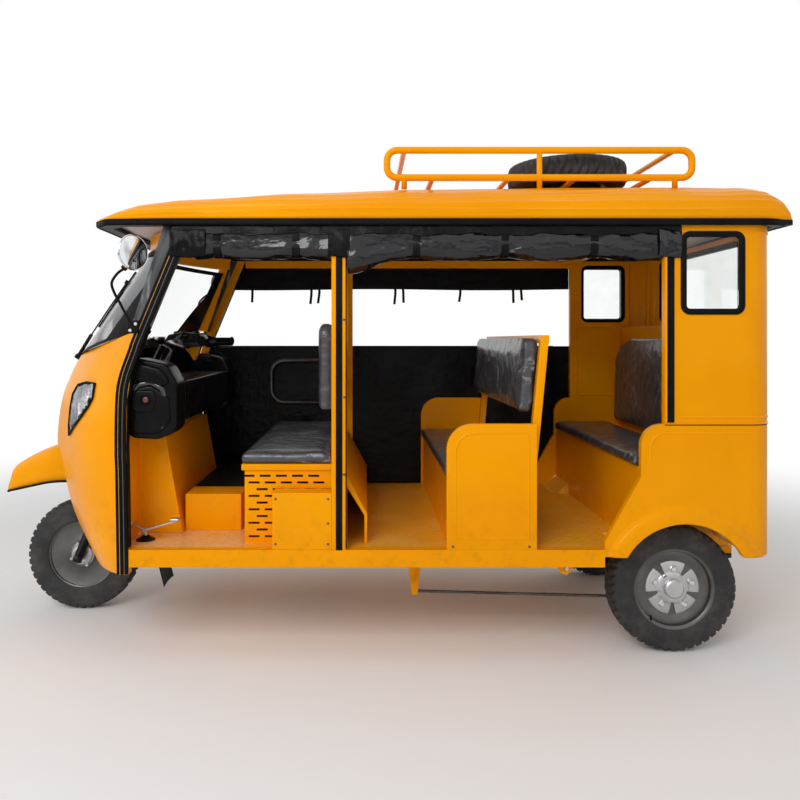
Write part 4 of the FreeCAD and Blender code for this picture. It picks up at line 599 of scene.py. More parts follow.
def sheetPiece(name, forms, finish, thickness, way=None, offset=0.0, sharp=180, **more):
    # an open sheet, turned over where its faces look away from the given direction, with a wall
    made = piece(name, forms, finish, closed=False, sharp=sharp, **more)
    normals = np.zeros(len(made.data.polygons) * 3)
    made.data.polygons.foreach_get("normal", normals)
    if way and (normals.reshape(-1, 3) @ np.array(way, float)).mean() < 0:
        made.data.flip_normals()
    return walled(made, thickness, offset)


def spotsOf(mesh, what="co"):
    values = np.zeros(len(mesh.vertices) * 3)
    mesh.vertices.foreach_get(what, values)
    return values.reshape(-1, 3)


def setSpots(mesh, spots):
    mesh.vertices.foreach_set("co", spots.ravel())
    mesh.update()


cheekSetting = {"jamb": -0.95, "nose": -1.435, "half": 0.62, "depth": 0.027, "high": 1.215, "fade": 0.12}


def cheekDrawn(made):
    # the nose's cheeks drawn back between its middle and its sides: depth * length share * half sine
    s = cheekSetting
    spots = spotsOf(made.data)
    length = np.clip((s["jamb"] - spots[:, 0]) / (s["jamb"] - s["nose"]), 0, 1) ** 0.8
    across = np.sin(math.pi * np.clip(np.abs(spots[:, 1]) / s["half"], 0, 1)) ** 0.8
    upright = np.clip((s["high"] - spots[:, 2]) / s["fade"], 0, 1)
    spots[:, 0] += s["depth"] * length * across * upright
    setSpots(made.data, spots)
    return made


# Curved CAD nodes: their own meshes, merged and shaded smooth, in their place.
for name in ("front_cowl", "roof_rack", "guard_rail", "handlebar", "front_fork", "rear_axle", "exhaust",
             "ladder_frame", "windshield_seal", "windshield_glass", "propeller_shaft"):
    made = placed(name + "_smooth", merged(nodes[name].data.copy()), nodes[name]["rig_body"],
                  instead=name, sharp=32)
    if name == "front_cowl":
        cheekDrawn(made)
print("curved packed nodes smoothed")


# Wheels: each tyre is a ring whose radius follows its section, with blocks raised on the tread.
tyreSetting = {
    "treadHalf": 0.046, "groove": 0.0085, "blocks": 44, "gap": 0.30, "turnSteps": 396, "sectionSteps": 46,
    "lugFrom": 0.2425, "ringRadii": (0.186, 0.2255), "ringHalf": 0.0016, "ringRise": 0.0006,
    "finAt": 0.205, "finHalf": 0.012, "finRise": 0.0007, "fins": 96, "halfWidth": 0.055}
section = np.array([
    (-0.046, 0.1565), (-0.0505, 0.162), (-0.0548, 0.180), (-0.0556, 0.197), (-0.0545, 0.214),
    (-0.0515, 0.230), (-0.0495, 0.238), (-0.0475, 0.2475), (-0.041, 0.2535), (-0.026, 0.2575),
    (0.0, 0.2595)])
section = np.vstack([section, section[-2::-1] * (-1, 1)])


def tyreForm(centre, axis="y"):
    # radius = section radius - a groove wherever the block pattern is low; rings and fins on the side
    # are section width * (1 + their rise / half width)
    s = tyreSetting
    line = smoothLine(section, s["sectionSteps"])
    wide, tall = line[None, :, 0], line[None, :, 1]
    turn = np.linspace(0, 2 * math.pi, s["turnSteps"], endpoint=False)[:, None]
    share = wide / s["treadHalf"]
    phase = turn * s["blocks"] / (2 * math.pi) + 0.55 * np.abs(share) + 0.5 * (share > 0)
    saw = np.abs((phase % 1.0) - 0.5) * 2
    slots = 1 / (1 + np.exp(-(saw - (1 - s["gap"])) * 26))
    middle = np.exp(-((np.abs(share) - 0.20 - 0.10 * np.sin(turn * s["blocks"] / 2)) / 0.065) ** 2)
    lug = 1 / (1 + np.exp(-(tall - s["lugFrom"]) * 1500))
    relief = sum(s["ringRise"] * np.exp(-((tall - ring) / s["ringHalf"]) ** 2) for ring in s["ringRadii"])
    fins = (np.abs(tall - s["finAt"]) < s["finHalf"]) * (np.sin(turn * s["fins"]) > 0.3)
    relief = relief + s["finRise"] * fins
    radius = tall - s["groove"] * lug * np.clip(slots + middle, 0, 1)
    out = wide * (1 + relief / s["halfWidth"])
    a, b = radius * np.cos(turn), radius * np.sin(turn)
    return grid(np.stack({"y": (a, out, b), "z": (a, b, out)}[axis], -1) + np.array(centre), True, True)


def rimForm(profile, centre, side, axis="y"):
    return turnedForm([(r, d * side) for r, d in profile], centre, axis, 96, closed=True)


# (radius, distance from the wheel's middle plane), with the outer face at negative distances
rearRimLine = [
    (0.1705, -0.0525), (0.1715, -0.0505), (0.1690, -0.0475), (0.1585, -0.0455), (0.1555, -0.0430),
    (0.1545, -0.0300), (0.1480, -0.0270), (0.1440, -0.0295), (0.1300, -0.0280), (0.1180, -0.0215),
    (0.1060, -0.0200), (0.0700, -0.0200), (0.0680, -0.0120), (0.1540, -0.0120), (0.1555, 0.0430),
    (0.1690, 0.0480), (0.1712, 0.0510), (0.1700, 0.0530), (0.1600, 0.0500), (0.1500, 0.0440),
    (0.1490, -0.0050), (0.0600, -0.0050), (0.0600, -0.0260), (0.1060, -0.0245), (0.1180, -0.0265),
    (0.1300, -0.0330), (0.1440, -0.0345), (0.1500, -0.0330), (0.1520, -0.0440), (0.1600, -0.0500)]
frontRimLine = [
    (0.1705, -0.0525), (0.1715, -0.0505), (0.1690, -0.0475), (0.1585, -0.0455), (0.1555, -0.0430),
    (0.1530, -0.0280), (0.1400, -0.0235), (0.1200, -0.0200), (0.0850, -0.0190), (0.0640, -0.0300),
    (0.0600, -0.0400), (0.0560, -0.0400), (0.0560, -0.0050), (0.1490, -0.0050), (0.1500, 0.0440),
    (0.1600, 0.0500), (0.1700, 0.0530), (0.1712, 0.0510), (0.1690, 0.0480), (0.1570, 0.0440),
    (0.1545, 0.0400), (0.1545, 0.0040), (0.1520, -0.0400)]
frontHubLine = [
    (0.0155, -0.056), (0.034, -0.056), (0.040, -0.051), (0.047, -0.049), (0.052, -0.042), (0.062, -0.036),
    (0.062, -0.030), (0.050, -0.026), (0.046, 0.026), (0.062, 0.034), (0.088, 0.037), (0.092, 0.044),
    (0.088, 0.052), (0.050, 0.056), (0.0155, 0.056)]
drumLine = [(0.0155, -0.012), (0.102, -0.006), (0.104, 0.004), (0.104, 0.046), (0.0155, 0.046)]
hubSetting = {"notches": 5, "radius": 0.110, "notchFloor": 0.064, "notchHalf": 0.125, "nutRing": 0.079,
              "nut": 0.0125, "nutTall": 0.012, "nutOut": 0.0325, "turn": 0.30}
frontNuts = {"count": 4, "ring": 0.0555, "turn": 0.4, "out": 0.036, "radius": 0.009, "tall": 0.010}


def lobedPlate(centre, side):
    # outline radius = the plate's radius, cut down to the notch floor near each of five directions
    s = hubSetting
    turn = np.linspace(0, 2 * math.pi, 360, endpoint=False)[:, None]
    pitch = 2 * math.pi / s["notches"]
    away = np.abs((turn - s["turn"]) % pitch - pitch / 2)
    outline = s["radius"] - (s["radius"] - s["notchFloor"]) * np.exp(-(away / s["notchHalf"]) ** 8)
    share, depth = np.array([
        (0.0, 0.022), (0.97, 0.022), (1.0, 0.0245), (0.985, 0.029), (0.93, 0.0315), (0.62, 0.0325),
        (0.60, 0.0345), (0.52, 0.0375), (0.42, 0.0385), (0.38, 0.0385), (0.36, 0.0535), (0.31, 0.0572),
        (0.0, 0.0575)]).T[:, None]
    radius = share * np.where(share < 0.55, s["radius"] * 0.95, outline)
    points = np.stack([radius * np.cos(turn), depth * side + turn * 0, radius * np.sin(turn)], -1)
    return grid(points + np.array(centre), wrapU=True)


def nutForm(centre, side, radius, height):
    profile = [(0, 0), (radius, 0), (radius, height * 0.8), (radius * 0.8, height), (0, height)]
    return turnedForm([(r, d * side) for r, d in profile], centre, "y", 6)


def ringOf(count, radius, centre, start):
    turn = np.arange(count) * 2 * math.pi / count + start
    return [np.array(centre) + (radius * math.cos(a), 0, radius * math.sin(a)) for a in turn]


def middleOf(node):
    low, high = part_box(node)
    return np.array((low + high) / 2)


valveSetting = {"radius": 0.142, "out": 0.030, "thick": 0.0032, "turns": {-1: 232, 1: -52}}
for name, side in (("rear_left", -1), ("rear_right", 1)):
    centre = middleOf(name + "_tyre")
    body = name + "_wheel"
    piece(name + "_treaded_tyre", tyreForm(centre), "tyre_rubber", body, 40, instead=name + "_tyre")
    piece(name + "_rolled_rim", rimForm(rearRimLine, centre, -side), "rim_steel", body, 30,
          instead=name + "_rim")
    piece(name + "_hub_plate", lobedPlate(centre, side), "bare_metal", body, 30)
    s = hubSetting
    nuts = [nutForm(spot + (0, side * s["nutOut"], 0), side, s["nut"], s["nutTall"])
            for spot in ringOf(s["notches"], s["nutRing"], centre, s["turn"])]
    piece(name + "_nuts", nuts, "chrome", body, 30)
    piece(name + "_drum", turnedForm([(r, -d * side) for r, d in drumLine], centre, "y", 72, closed=True),
          "cast_metal", body, 30)
    turn, reach = math.radians(valveSetting["turns"][side]), valveSetting["radius"]
    foot = centre + (reach * math.cos(turn), side * valveSetting["out"], reach * math.sin(turn))
    stem = [foot, foot + (-0.004, side * 0.012, -0.006), foot + (-0.008, side * 0.022, -0.012)]
    piece(name + "_valve", bar(stem, valveSetting["thick"]), "seal_rubber", body, 40)

frontCentre, spareCentre = middleOf("front_tyre"), middleOf("spare_wheel")
piece("front_treaded_tyre", tyreForm(frontCentre), "tyre_rubber", "front_wheel", 40, instead="front_tyre")
piece("front_rolled_rim", rimForm(frontRimLine, frontCentre, 1), "rim_steel", "front_wheel", 30,
      instead="front_rim")
s = frontNuts
nuts = [nutForm(spot - (0, s["out"], 0), -1, s["radius"], s["tall"])
        for spot in ringOf(s["count"], s["ring"], frontCentre, s["turn"])]
piece("front_hub", [turnedForm(frontHubLine, frontCentre, "y", 64, closed=True)] + nuts, "bare_metal",
      "front_wheel", 30)
piece("spare_treaded_tyre", tyreForm(spareCentre, "z"), "tyre_rubber", sharp=40, instead="spare_wheel")
piece("spare_rolled_rim", rimForm(frontRimLine, spareCentre, -1, "z"), "rim_steel", sharp=30)
print("wheels made")


# Roof skin: height = edge + crown along the roof * the arch across it, plus low ridges, pleats and dents.
roofSetting = {
    "front": -1.045, "rear": 1.672, "half": 0.667, "edge": 1.7365, "crown": 0.194, "wall": 0.006,
    "along": [0, 0.0015, 0.006, 0.014, 0.03, 0.06, 0.112, 0.27, 0.445, 0.7, 0.88, 0.945, 0.975, 0.990,
              0.997, 1],
    "tall": [0.02, 0.05, 0.10, 0.18, 0.33, 0.52, 0.67, 0.83, 0.93, 0.99, 1.0, 0.975, 0.91, 0.76, 0.50, 0.02],
    "wide": [0.90, 0.905, 0.93, 0.95, 0.975, 0.99, 1, 1, 1, 1, 1, 1, 0.998, 0.99, 0.98, 0.972],
    "ridges": (0.10, 0.22, 0.34, 0.45), "ridgeRise": 0.0065, "ridgeHalf": 0.009,
    "pleats": (0.20, 0.38, 0.54, 0.68, 0.80), "pleatRise": 0.0042, "pleatHalf": 0.030,
    "dentRise": 0.0045, "dentAt": 0.56, "dentHalf": 0.09}


def roofForm(stepsU=150, stepsV=140):
    s = roofSetting
    ends = 0.02 * np.linspace(0, 1, 14) ** 2
    u = np.sort(np.concatenate([np.linspace(0, 1, stepsU), ends, 1 - ends]))[:, None]
    v = np.linspace(-1, 1, stepsV)[None]
    crown = s["crown"] * np.interp(u, s["along"], s["tall"])
    across = np.sign(v) * np.abs(np.sin(v * math.pi / 2)) ** 0.80
    arch = np.abs(np.cos(v * math.pi / 2)) ** 0.62
    x = s["front"] + (s["rear"] - s["front"]) * u + v * 0
    y = s["half"] * np.interp(u, s["along"], s["wide"]) * across
    fade = np.clip((u - 0.05) / 0.06, 0, 1) * np.clip((0.96 - u) / 0.05, 0, 1)
    ridge = sum(np.exp(-((np.abs(y) - place) / s["ridgeHalf"]) ** 4) for place in s["ridges"])
    dents = s["dentRise"] * np.exp(-((np.abs(y) - s["dentAt"]) / s["dentHalf"]) ** 2)
    dents = dents * np.sin(x * 9 + 2 * np.sin(y * 7)) * np.sin(y * 11 + 1.5 * np.sin(x * 4))
    pleat = sum(np.exp(-((arch - place - 0.02 * np.sin(x * 3 + 9 * place)) / s["pleatHalf"]) ** 2)
                for place in s["pleats"])
    pleat = pleat * np.clip((u - 0.01) / 0.08, 0, 1) * np.clip((0.99 - u) / 0.02, 0, 1) * s["pleatRise"]
    pressed = (s["ridgeRise"] * (ridge - 1.0) + dents) * fade * np.clip(arch * 3 - 0.5, 0, 1)
    z = s["edge"] + crown * arch + 0.8 * pleat + pressed
    return grid(np.stack([x, y * (1 + pleat / s["half"]), z], -1))


sheetPiece("roof_skin", roofForm(), "yellow_paint", roofSetting["wall"], (0, 0, 1), -1.0, 60,
           instead="roof_panel")
rightEdge = [(1.6585, 0.650), (1.56, 0.668), (-0.75, 0.668), (-0.99, 0.655), (-1.045, 0.585)]
gutterSetting = {"z": 1.727, "round": 0.05, "corners":
                 [(x, -y) for x, y in rightEdge[::-1]] + [(1.6655, 0)] + rightEdge}
gutterLine = roundedLine([(x, y, gutterSetting["z"]) for x, y in gutterSetting["corners"]],
                         gutterSetting["round"], 6, True)
gutterSection = [(-0.006, -0.0125), (0.002, -0.0135), (0.0055, -0.011), (0.0065, -0.004), (0.0050, 0.004),
                 (0.0060, 0.0105), (0.002, 0.0125), (-0.006, 0.0120)]
piece("roof_gutter", carried(gutterLine, gutterSection, closed=True), "seal_rubber", sharp=50)


def gridShares(stepsU, stepsV, fromV=-1):
    return np.meshgrid(np.linspace(0, 1, stepsU), np.linspace(fromV, 1, stepsV), indexing="ij")


lining = {"front": -0.994, "rear": 1.621, "half": 0.617, "z": 1.7335, "wave": 0.002, "thick": 0.0025}
u, v = gridShares(60, 40)
x = lining["front"] + (lining["rear"] - lining["front"]) * u
y = v * lining["half"] * np.interp(u, [0, 0.02, 0.08, 1], [0.87, 0.94, 1, 1])
z = lining["z"] + lining["wave"] * np.sin(x * 14) * np.sin(v * 9)
sheetPiece("roof_lining_sheet", grid(np.stack([x, y, z], -1)), "cream_paint", lining["thick"], (0, 0, -1),
           -1.0, 35, instead="roof_lining")

# Front mudguard: each crosswise rib goes from the skirt up the side to the top line, on a squarish arch.
guardSetting = {
    "top": [(-1.672, 0.562), (-1.668, 0.592), (-1.656, 0.628), (-1.632, 0.679), (-1.540, 0.735),
            (-1.442, 0.776), (-1.358, 0.791), (-1.253, 0.776), (-1.155, 0.722), (-1.056, 0.625),
            (-1.000, 0.490), (-0.983, 0.363)],
    "skirt": [(-1.668, 0.560), (-1.662, 0.563), (-1.640, 0.569), (-1.600, 0.579), (-1.520, 0.599),
              (-1.440, 0.617), (-1.358, 0.622), (-1.265, 0.616), (-1.180, 0.592), (-1.085, 0.530),
              (-1.025, 0.430), (-1.001, 0.361)],
    "half": [0.046, 0.052, 0.060, 0.075, 0.100, 0.122] + [0.1245] * 6, "wall": 0.004, "edge": 0.0055}


def guardHalf(steps):
    return np.interp(np.linspace(0, 11, steps), np.arange(12), guardSetting["half"])


def guardForm(stepsU=80, stepsV=41):
    s = guardSetting
    top, low = smoothLine(s["top"], stepsU)[:, None], smoothLine(s["skirt"], stepsU)[:, None]
    half = guardHalf(stepsU)[:, None]
    turn = np.linspace(-1, 1, stepsV)[None] * math.pi / 2
    across = np.sign(turn) * np.abs(np.sin(turn)) ** 0.42
    side = low + (top - low) * (np.abs(np.cos(turn)) ** 0.55)[..., None]
    return grid(np.stack([side[..., 0], half * across, side[..., 1]], -1))


sheetPiece("mudguard_hood", guardForm(), "yellow_paint", guardSetting["wall"], (0, 0, 1), -1.0, 60,
           body="steering", instead="front_mudguard")
skirt = smoothLine(guardSetting["skirt"], 60)
hem = [np.stack([skirt[:, 0], guardHalf(60) * side, skirt[:, 1] - 0.002], -1) for side in (-1, 1)]
piece("mudguard_edge", bar(np.vstack([hem[0][::-1], hem[1]]), guardSetting["edge"], 10), "seal_rubber",
      "steering", 60)
flapSetting = {"top": (-0.985, 0.366), "low": (-0.923, 0.118), "half": 0.079, "bulge": 0.006, "thick": 0.004}
u, v = gridShares(24, 20)
top, low = flapSetting["top"], flapSetting["low"]
x = top[0] + (low[0] - top[0]) * u + flapSetting["bulge"] * np.sin(u * 5) * (1 - v ** 2)
z = top[1] + (low[1] - top[1]) * u
sheetPiece("mudguard_flap", grid(np.stack([x, v * flapSetting["half"], z], -1)), "seal_rubber",
           flapSetting["thick"], sharp=60, body="steering")
print("roof and front mudguard made")


# Rolled curtain on the left: a flap hangs from the rail and winds inwards on a spiral, creased and
# bulging between its straps. Winding radius = outer radius - pitch * turns, plus creases.
rollSetting = {
    "y": -0.614, "z": 1.630, "outer": 0.0415, "core": 0.010, "turns": 6.0, "top": 1.713, "face": -0.6545,
    "strapPinch": 0.18, "strapHalf": 0.026, "strapOut": 0.0045, "strapWide": 0.014, "strapThick": 0.0008,
    "hook": ((-0.6575, 1.655), (-0.6550, 1.712)), "crease": 0.0068, "thick": 0.0009}
rollParts = {
    "front": {"from": -0.648, "to": -0.120, "straps": (-0.560, -0.253), "sag": 0.006, "droop": 0.0,
              "seed": 3},
    "rear": {"from": -0.052, "to": 1.172, "straps": (0.215, 0.558, 0.905), "sag": 0.010, "droop": 0.042,
             "seed": 8}}


def rollShape(part, x):
    # centre drop and size of the roll at each x
    s = rollSetting
    straps = np.array(part["straps"])[:, None]
    near = np.abs(x.reshape(1, -1) - straps).min(0).reshape(x.shape)
    pinch = 1 - s["strapPinch"] * np.exp(-(near / s["strapHalf"]) ** 2)
    start = np.exp(-((x - part["from"]) / 0.11) ** 2) * (part["droop"] > 0)
    drop = part["sag"] * (1 - np.exp(-(near / 0.09) ** 2)) + part["droop"] * start
    return drop, pinch * (1 + 0.22 * start)


def rollForm(part, stepsU=120, perTurn=18):
    s = rollSetting
    x = np.linspace(part["from"], part["to"], stepsU)[:, None]
    turn = np.linspace(0, s["turns"] * 2 * math.pi, int(s["turns"] * perTurn))[None]
    drop, size = rollShape(part, x)
    waves = np.random.default_rng(part["seed"])
    crease = 0
    for k in range(14):
        along, around, phase = waves.uniform(12, 75), waves.integers(1, 6), waves.uniform(0, 6.28)
        crease = crease + np.sin(x * along + turn * around + phase + 0.6 * np.sin(x * 17 + k)) / 3.4
    share = turn / turn.max()
    radius = (s["outer"] + (s["core"] - s["outer"]) * share) * size
    radius = radius + s["crease"] * crease * (1 - share) ** 1.5 * 0.55 * (0.35 + size - size.min())
    y = s["y"] - radius * np.cos(turn) * 1.02
    z = s["z"] - drop - radius * np.sin(turn) * 0.98
    hang = np.linspace(0, 1, 8, endpoint=False)[None]
    flapY = s["face"] * (1 - hang) + y[:, :1] * hang + 0.002 * np.sin(x * 31) * hang
    flapZ = s["top"] * (1 - hang) + z[:, :1] * hang
    y, z = np.hstack([flapY, y]), np.hstack([flapZ, z])
    return np.stack([x + y * 0, y, z], -1)


def band(half, thick):
    # section of a flat strap or tail
    return [(-half, -thick), (half, -thick), (half, thick), (-half, thick)]


for name, part in rollParts.items():
    points = rollForm(part)
    roll = sheetPiece("curtain_roll_" + name, grid(points), "curtain_film", rollSetting["thick"],
                      instead="curtain_roll_left")
    straps = []
    for place in part["straps"]:
        drop, size = rollShape(part, np.array([[place]]))
        turn = np.linspace(0, 2 * math.pi, 40, endpoint=False)
        s = rollSetting
        radius = s["outer"] * float(size[0, 0]) + s["strapOut"]
        loop = np.stack([turn * 0 + place, s["y"] - radius * np.cos(turn) * 1.02,
                         s["z"] - float(drop[0, 0]) - radius * np.sin(turn)], -1)
        wide, (low, high) = s["strapWide"], s["hook"]
        straps += [carried(loop, band(s["strapThick"], wide), True, (1, 0, 0)),
                   roundedBox((place - wide, *low), (place + wide, *high), 0.001)]
    piece("roll_straps_" + name, straps, "dark_trim", sharp=40)

# Lowered curtain on the right: a band under the rail, the long sheet below the window line, and a narrow
# flap behind it.
sheetSetting = {"face": 0.6562, "wave": 0.0038, "thick": 0.0012, "hem": 0.006}


def hangingForm(x0, x1, z0, z1, stepsU, stepsV, seed, drawn=1.0):
    # depth = sum of slanted sine folds that grow away from the edges
    waves = np.random.default_rng(seed)
    u, v = gridShares(stepsU, stepsV, 0)
    x, z = x0 + (x1 - x0) * u, z1 + (z0 - z1) * v
    fold = 0
    for k in range(10):
        slope, lean, phase = waves.uniform(3, 26), waves.uniform(-9, 9), waves.uniform(0, 6.28)
        fold = fold + np.sin(x * slope + z * lean + phase) / 3.2
    edge = np.clip(np.minimum(u, 1 - u) * 12, 0, 1) * (0.3 + 0.7 * np.clip(v * 5, 0, 1))
    z = z + sheetSetting["hem"] * np.sin(x * 5 + 1.2) * drawn * v
    return np.stack([x, sheetSetting["face"] + sheetSetting["wave"] * fold * edge * drawn, z], -1)


def hung(name, points, finish, thick=sheetSetting["thick"], instead=None):
    made = sheetPiece(name, grid(points), finish, thick, (0, -1, 0), instead=instead)


for node, rest, seed, stepsV, drawn, foot in (
        ("curtain_band_right", "roof_frame", 21, 24, 0.55, 0.002),
        ("curtain_sheet_right", "centre_pillars", 5, 62, 0.9, -0.012)):
    low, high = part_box(node)
    points = hangingForm(low.x, high.x, low.z + foot, high.z - 0.002, 160, stepsV, seed, drawn)
    hung(node + "_cloth", points, "curtain_vinyl", instead=node)
points = hangingForm(high.x - 0.015, high.x + 0.105, 0.70, high.z - 0.004, 24, 36, 9) + (0, 0.0042, 0)
hung("curtain_flap_right", points, "curtain_vinyl")
tailSetting = {"places": (-0.628, -0.292, -0.247, 0.186, 0.231, 0.556, 0.857, 0.903), "y": 0.652,
               "top": 1.575, "end": 1.485, "uneven": 0.012, "stray": 0.006, "half": 0.007, "thick": 0.0008}
t = tailSetting
tails = []
for place in t["places"]:
    end = (place + t["stray"] * math.sin(place * 30), t["y"], t["end"] - t["uneven"] * math.sin(place * 40))
    line = smoothLine([(place, t["y"], t["top"]), (place + 0.002, t["y"] + 0.001, 1.540), end], 14)
    tails.append(carried(line, band(t["half"], t["thick"]), up=(0, 1, 0)))
piece("curtain_tails", tails, "dark_trim", sharp=40)


# Seat pads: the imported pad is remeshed, blown up a little as cloth and creased by its film wrap.
padSetting = {"voxel": 0.013, "pressure": 4.5, "cap": 0.009, "shrink": 0.002, "frames": 14, "crease": 0.004}
padCorners = {"rear_backrest": 0.27, "middle_backrest": 0.055, "driver_backrest": 0.06}


def evaluated(made):
    # the mesh with its modifiers applied, which are then taken off
    mesh = bpy.data.meshes.new_from_object(made.evaluated_get(bpy.context.evaluated_depsgraph_get()))
    made.modifiers.clear()
    return mesh


def cornersDrawn(spots, corner, edge, top):
    # both upper corners drawn in onto a quarter circle: the diagonal reach is cut to the longer step
    dy = np.clip(np.abs(spots[:, 1]) - (edge - corner), 0, None)
    dz = np.clip(spots[:, 2] - (top - corner), 0, None)
    reach = np.maximum(dy, dz) / np.maximum(np.hypot(dy, dz), 1e-9)
    reach = np.where((dy > 0) & (dz > 0), reach, 1)
    spots[:, 1] -= np.sign(spots[:, 1]) * dy * (1 - reach)
    spots[:, 2] -= dz * (1 - reach)


def padFrom(node, seed):
    s = padSetting
    mesh = merged(nodes[node].data.copy())
    spots = spotsOf(mesh)
    low, high = spots.min(0), spots.max(0)
    middle = (low + high) / 2
    spots = middle + (spots - middle) * (1 - s["shrink"] * 2 / (high - low))
    setSpots(mesh, spots)
    top, edge = spots.max(0)[2], spots.max(0)[1]
    pad = linked(node + "_pad", mesh)
    remesh = pad.modifiers.new("voxels", "REMESH")
    remesh.mode = "VOXEL"
    remesh.voxel_size = s["voxel"]
    pad.data = baked = evaluated(pad)
    spots = spotsOf(baked)
    if node in padCorners:
        cornersDrawn(spots, padCorners[node], edge, top)
    cloth = pad.modifiers.new("cloth", "CLOTH")
    cloth.settings.use_pressure = True
    cloth.settings.uniform_pressure_force = s["pressure"]
    cloth.settings.effector_weights.gravity = 0
    cloth.settings.quality = 4
    cloth.point_cache.frame_end = s["frames"]
    for step in range(1, s["frames"] + 1):
        scene.frame_set(step)
    blown = evaluated(pad)
    scene.frame_set(1)
    move = spotsOf(blown) - spots
    size = np.linalg.norm(move, axis=1)[:, None]
    spots = spots + move * np.minimum(1, s["cap"] / np.maximum(size, 1e-9))
    waves = np.random.default_rng(seed)
    crease = 0
    for k in range(12):
        way = waves.normal(size=3)
        crease = crease + np.sin(spots @ (way / np.linalg.norm(way) * waves.uniform(25, 110))
                                 + waves.uniform(0, 6.28) + 1.5 * np.sin(spots @ waves.normal(size=3) * 14))
    setSpots(baked, spots)
    setSpots(baked, spots - spotsOf(baked, "normal") * (np.abs(crease / 12) ** 0.7 * s["crease"])[:, None])
    baked.polygons.foreach_set("use_smooth", [True] * len(baked.polygons))
    baked.materials.clear()
    baked.materials.append(finishes["seat_vinyl"])
    finer = pad.modifiers.new("finer", "SUBSURF")
    finer.levels = finer.render_levels = 1
    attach(pad, "chassis")
    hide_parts(node)


for seed, node in enumerate(("driver_cushion", "driver_backrest", "middle_cushion", "middle_backrest",
                             "rear_cushion", "rear_backrest"), 30):
    padFrom(node, seed)
print("curtains and seat pads made")


# Front trim: strips along the door jamb, a gold strip beside the windshield, lamps, mirrors and the wiper.
jambSetting = {"x": -0.9325, "lean": 0.250, "low": 0.364, "high": 1.714, "face": 0.650, "rise": 0.0045,
               "shares": [(0, 0.035), (0.27, 0.012), (0.36, 0), (0.5, 0.012), (0.566, 0.067), (0.643, 0.213),
                          (0.68, 0.285), (0.912, 0.803), (1, 1)]}
# start, width and height over the usual rise
jambStrips = {"seal_rubber": [(-0.0225, 0.0120, 1.0), (-0.0079, 0.0135, 1.1), (0.0088, 0.0137, 1.2)],
              "gold_strip": [(-0.0105, 0.0026, 1.2)], "grey_strip": [(0.0056, 0.0032, 1.0)]}


def jambLine(count=90):
    s = jambSetting
    line = smoothLine([(s["x"] + s["lean"] * lean, 0, s["low"] + (s["high"] - s["low"]) * up)
                       for up, lean in s["shares"]], count)
    return line - (0, s["face"], 0)


def strip(line, start, width, rise, up):
    # a low strip with rounded edges, from its near edge across its width
    edge = min(rise, width) * 0.4
    profile = [(start, -0.001), (start, rise - edge), (start + edge, rise), (start + width - edge, rise),
               (start + width, rise - edge), (start + width, -0.001)]
    return carried(line, profile, up=up)


for finish, strips in jambStrips.items():
    forms = [strip(jambLine(), start, width, jambSetting["rise"] * tall, (0, -1, 0))
             for start, width, tall in strips]
    piece("jamb_trim_" + finish, bothSides(forms), finish, sharp=60, slot="seal_rubber")

shieldSetting = {"low": (-1.285, 0, 1.204), "lowEnd": (-0.925, 0.548, 1.305), "high": (-0.990, 0, 1.644),
                 "highEnd": (-0.785, 0.518, 1.628)}


def shieldArc(middle, end, share):
    # circle through the middle and both ends: radius = (half width squared + depth squared) / (2 depth)
    middle, end = np.array(middle, float), np.array(end, float)
    inward = np.array([end[0] - middle[0], 0, end[2] - middle[2]])
    depth = np.linalg.norm(inward)
    radius = (end[1] ** 2 + depth ** 2) / (2 * depth)
    angle = math.asin(end[1] / radius) * np.asarray(share, float)[..., None]
    return middle + inward / depth * radius * (1 - np.cos(angle)) + np.array([0, radius, 0]) * np.sin(angle)


def shieldPoint(across, up, stand=0.0):
    # the outer glass face: a straight blend between its lower and its upper arc, moved out by a stand
    s = shieldSetting
    across, up = np.broadcast_arrays(np.asarray(across, float), np.asarray(up, float))
    low, high = shieldArc(s["low"], s["lowEnd"], across), shieldArc(s["high"], s["highEnd"], across)
    spot = low + (high - low) * up[..., None]
    side = shieldArc(s["low"], s["lowEnd"], across + 0.01) - shieldArc(s["low"], s["lowEnd"], across - 0.01)
    out = np.cross(side, high - low)
    out = out / np.linalg.norm(out, axis=-1)[..., None]
    return spot - out * np.sign(out[..., :1]) * stand


gold = carried(shieldPoint(-1.0, np.linspace(0.04, 0.96, 12), 0.010) + (0, -0.004, 0), ringProfile(0.0035, 8),
               up=(0, -1, 0))
piece("windshield_gold_strip", bothSides([gold]), "gold_strip", sharp=60)

# Wiper: pivot cap, thick arm root, thin arm, blade with its rubber, all standing off the glass.
wiperSetting = {"foot": (-0.155, -0.06), "root": (-0.185, 0.17), "joint": (-0.285, 0.72),
                "bladeLow": (-0.262, 0.26), "bladeHigh": (-0.300, 0.84), "arm": 0.0035, "blade": 0.0045,
                "rubber": 0.0022, "cap": 0.011, "knob": 0.010, "clip": 0.0075}


def onShield(key, stand):
    return shieldPoint(*wiperSetting[key], stand)


